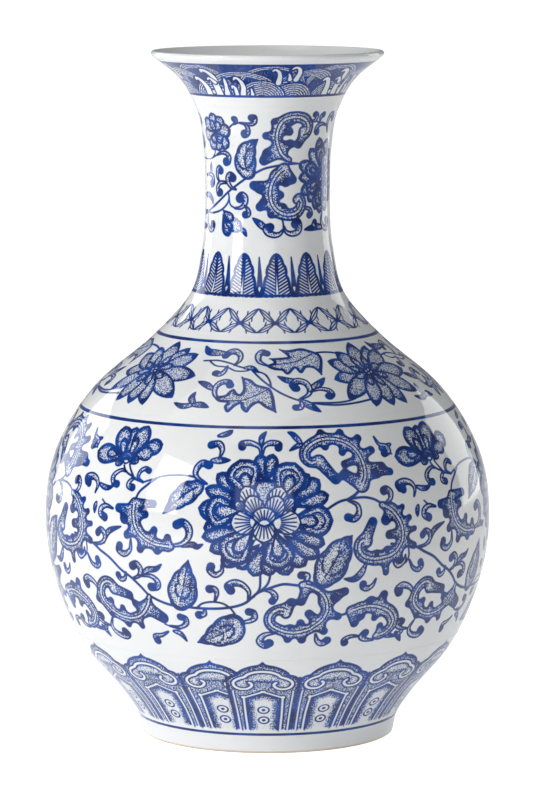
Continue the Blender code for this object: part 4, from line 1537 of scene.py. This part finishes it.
def makeWaveBorder():
    plan = waveBorder
    canvas = Canvas(plan, wrap=plan["repeat"])
    canvas.ink[:] = -0.3
    canvas.shade[:] = plan["waterShade"]
    for azimuth, crown, radius, ripples in plan["fans"]:
        found = canvas.windows(np.array([azimuth]), np.array([crown]), radius + 1.0)[0]
        for place, x, y in found:
            away = radius - np.hypot(x, y + radius)
            phase = away / plan["ripple"]
            line = 0.19 - np.abs(phase - np.round(phase)) * plan["ripple"]
            inside = (away > 0) & (phase < ripples)
            beyond = np.where(away > 0, noInk, np.minimum(0.5 + away, 0.2))
            canvas.lay(place, inside, np.where(inside, line, beyond), plan["rippleShade"])
    paintArea(canvas, plan["pool"], kind="ring", rim=0.3, shade=0.05)
    # dark water round the foam
    for width, places in plan["foam"]:
        line = smoothLine(places)
        wide = width + plan["halo"]
        half = np.full(len(line), wide / 2)
        for place, depth, *_ in strokes(canvas, line, half, wide + edgeMargin):
            canvas.lay(place, depth > 0, np.minimum(depth, 1.0), 0.9)
    for width, places in plan["foam"]:
        line = smoothLine(places)
        t = np.linspace(0.0, 1.0, len(line))
        half = np.interp(t, [0, 0.5, 0.85, 1], [width, width * 0.6, width * 0.5, 0.4])
        for place, depth, *_ in strokes(canvas, line, half, width + edgeMargin):
            ink = np.where(depth > 0, -depth, np.minimum(0.5 + depth, 0.2))
            canvas.lay(place, depth > 0, ink, 0.0)
    low, high = plan["lines"]
    between = ((canvas.height > low) & (canvas.height < high))[:, None]
    lower = 0.55 - np.abs(canvas.arc - arcAt(low))
    upper = 0.5 - np.abs(canvas.arc - arcAt(high))
    rim = np.maximum(lower, upper)[:, None]
    ink = np.where(between, np.maximum(canvas.ink, rim), np.minimum(rim, 0.5))
    shade = canvas.shade * between
    printedSheet("waveBorder", canvas, ink, shade, "wave_border_transfer", fullTurn=True)


view = {
    "place": (-0.0005, -2.04, 0.4197),
    "pitchDown": 7.22,
    "lens": 191.4,
    "sensor": 36.0,
}

lighting = {
    # name: place, target, width, height, strength as watts, colour
    "windowLeft": ((-0.83, -0.60, 0.50), (-0.02, -0.08, 0.17), 0.34, 0.62, 7.4, (1.0, 0.985, 0.98)),
    "fillRight": ((1.35, -0.95, 0.75), (0.0, 0.0, 0.16), 0.9, 1.1, 1.2, (0.97, 0.98, 1.0)),
    "overhead": ((-0.35, -0.3, 1.9), (0.0, 0.0, 0.1), 1.6, 1.4, 7.2, (1.0, 1.0, 1.0)),
    "front": ((-0.1, -3.0, 1.2), (0.0, 0.0, 0.15), 1.6, 1.2, 7.5, (1.0, 1.0, 1.0)),
    "rimLeft": ((-1.5, 1.3, 0.40), (0.0, 0.0, 0.17), 0.9, 1.5, 11.0, (1.0, 1.0, 1.0)),
    "rimRight": ((1.5, 1.3, 0.40), (0.0, 0.0, 0.17), 0.9, 1.5, 8.0, (1.0, 1.0, 1.0)),
}

# seenStrength and seenGlow are added for the camera only
backdrop = {"strength": 0.22, "seenStrength": 0.83}

floorPlan = {
    "radius": 6.0,
    "sides": 96,
    "colour": (0.93, 0.93, 0.93, 1.0),
    "roughness": 0.85,
    "glow": 0.38,
    "seenGlow": 0.46,
}


def aimed(place, target):
    return (Vector(target) - Vector(place)).to_track_quat("-Z", "Y").to_euler()


def makeStage():
    scene = bpy.context.scene
    camera = bpy.data.objects.new("viewCamera", bpy.data.cameras.new("viewCamera"))
    camera.data.lens = view["lens"]
    camera.data.sensor_width = view["sensor"]
    camera.location = view["place"]
    camera.rotation_euler = (math.radians(90.0 - view["pitchDown"]), 0.0, 0.0)
    scene.collection.objects.link(camera)
    scene.camera = camera
    for name, (place, target, width, height, watts, colour) in lighting.items():
        lamp = bpy.data.lights.new(name, "AREA")
        lamp.shape = "RECTANGLE"
        lamp.size = width
        lamp.size_y = height
        lamp.energy = watts
        lamp.color = colour
        holder = bpy.data.objects.new(name, lamp)
        holder.location = place
        holder.rotation_euler = aimed(place, target)
        scene.collection.objects.link(holder)
    world = bpy.data.worlds.new("paleStudio")
    world.use_nodes = True
    back = world.node_tree.nodes["Background"]
    back.inputs["Color"].default_value = (1.0, 1.0, 1.0, 1.0)
    path = world.node_tree.nodes.new("ShaderNodeLightPath")
    onCamera = path.outputs["Is Camera Ray"]
    level = mathNode(
        world.node_tree, "MULTIPLY_ADD", onCamera, backdrop["seenStrength"], backdrop["strength"],
    )
    world.node_tree.links.new(level, back.inputs["Strength"])
    scene.world = world
    shape = bmesh.new()
    bmesh.ops.create_circle(
        shape, cap_ends=True, radius=floorPlan["radius"], segments=floorPlan["sides"],
    )
    mesh = bpy.data.meshes.new("paleFloor")
    shape.to_mesh(mesh)
    shape.free()
    material = bpy.data.materials.new("paleFloor")
    material.use_nodes = True
    shader = material.node_tree.nodes["Principled BSDF"]
    shader.inputs["Base Color"].default_value = floorPlan["colour"]
    shader.inputs["Roughness"].default_value = floorPlan["roughness"]
    shader.inputs["Emission Color"].default_value = (1.0, 1.0, 1.0, 1.0)
    seen = material.node_tree.nodes.new("ShaderNodeLightPath")
    onCamera = seen.outputs["Is Camera Ray"]
    glow = mathNode(
        material.node_tree, "MULTIPLY_ADD", onCamera, floorPlan["seenGlow"], floorPlan["glow"],
    )
    material.node_tree.links.new(glow, shader.inputs["Emission Strength"])
    mesh.materials.append(material)
    floor = bpy.data.objects.new("paleFloor", mesh)
    scene.collection.objects.link(floor)
    scene.view_settings.view_transform = "Standard"
    scene.view_settings.look = "None"
    print("stage made")


makeStage()
makeBody()
makeLotusPanels()
makeScroll(bellyScroll, "bellyScroll", "belly_scroll_transfer")
makeShoulderScroll()
makeLatticeBorder()
makeLeafBorder()
makeScroll(neckScroll, "neckScroll", "neck_scroll_transfer")
makeWaveBorder()
makePaintedLines()
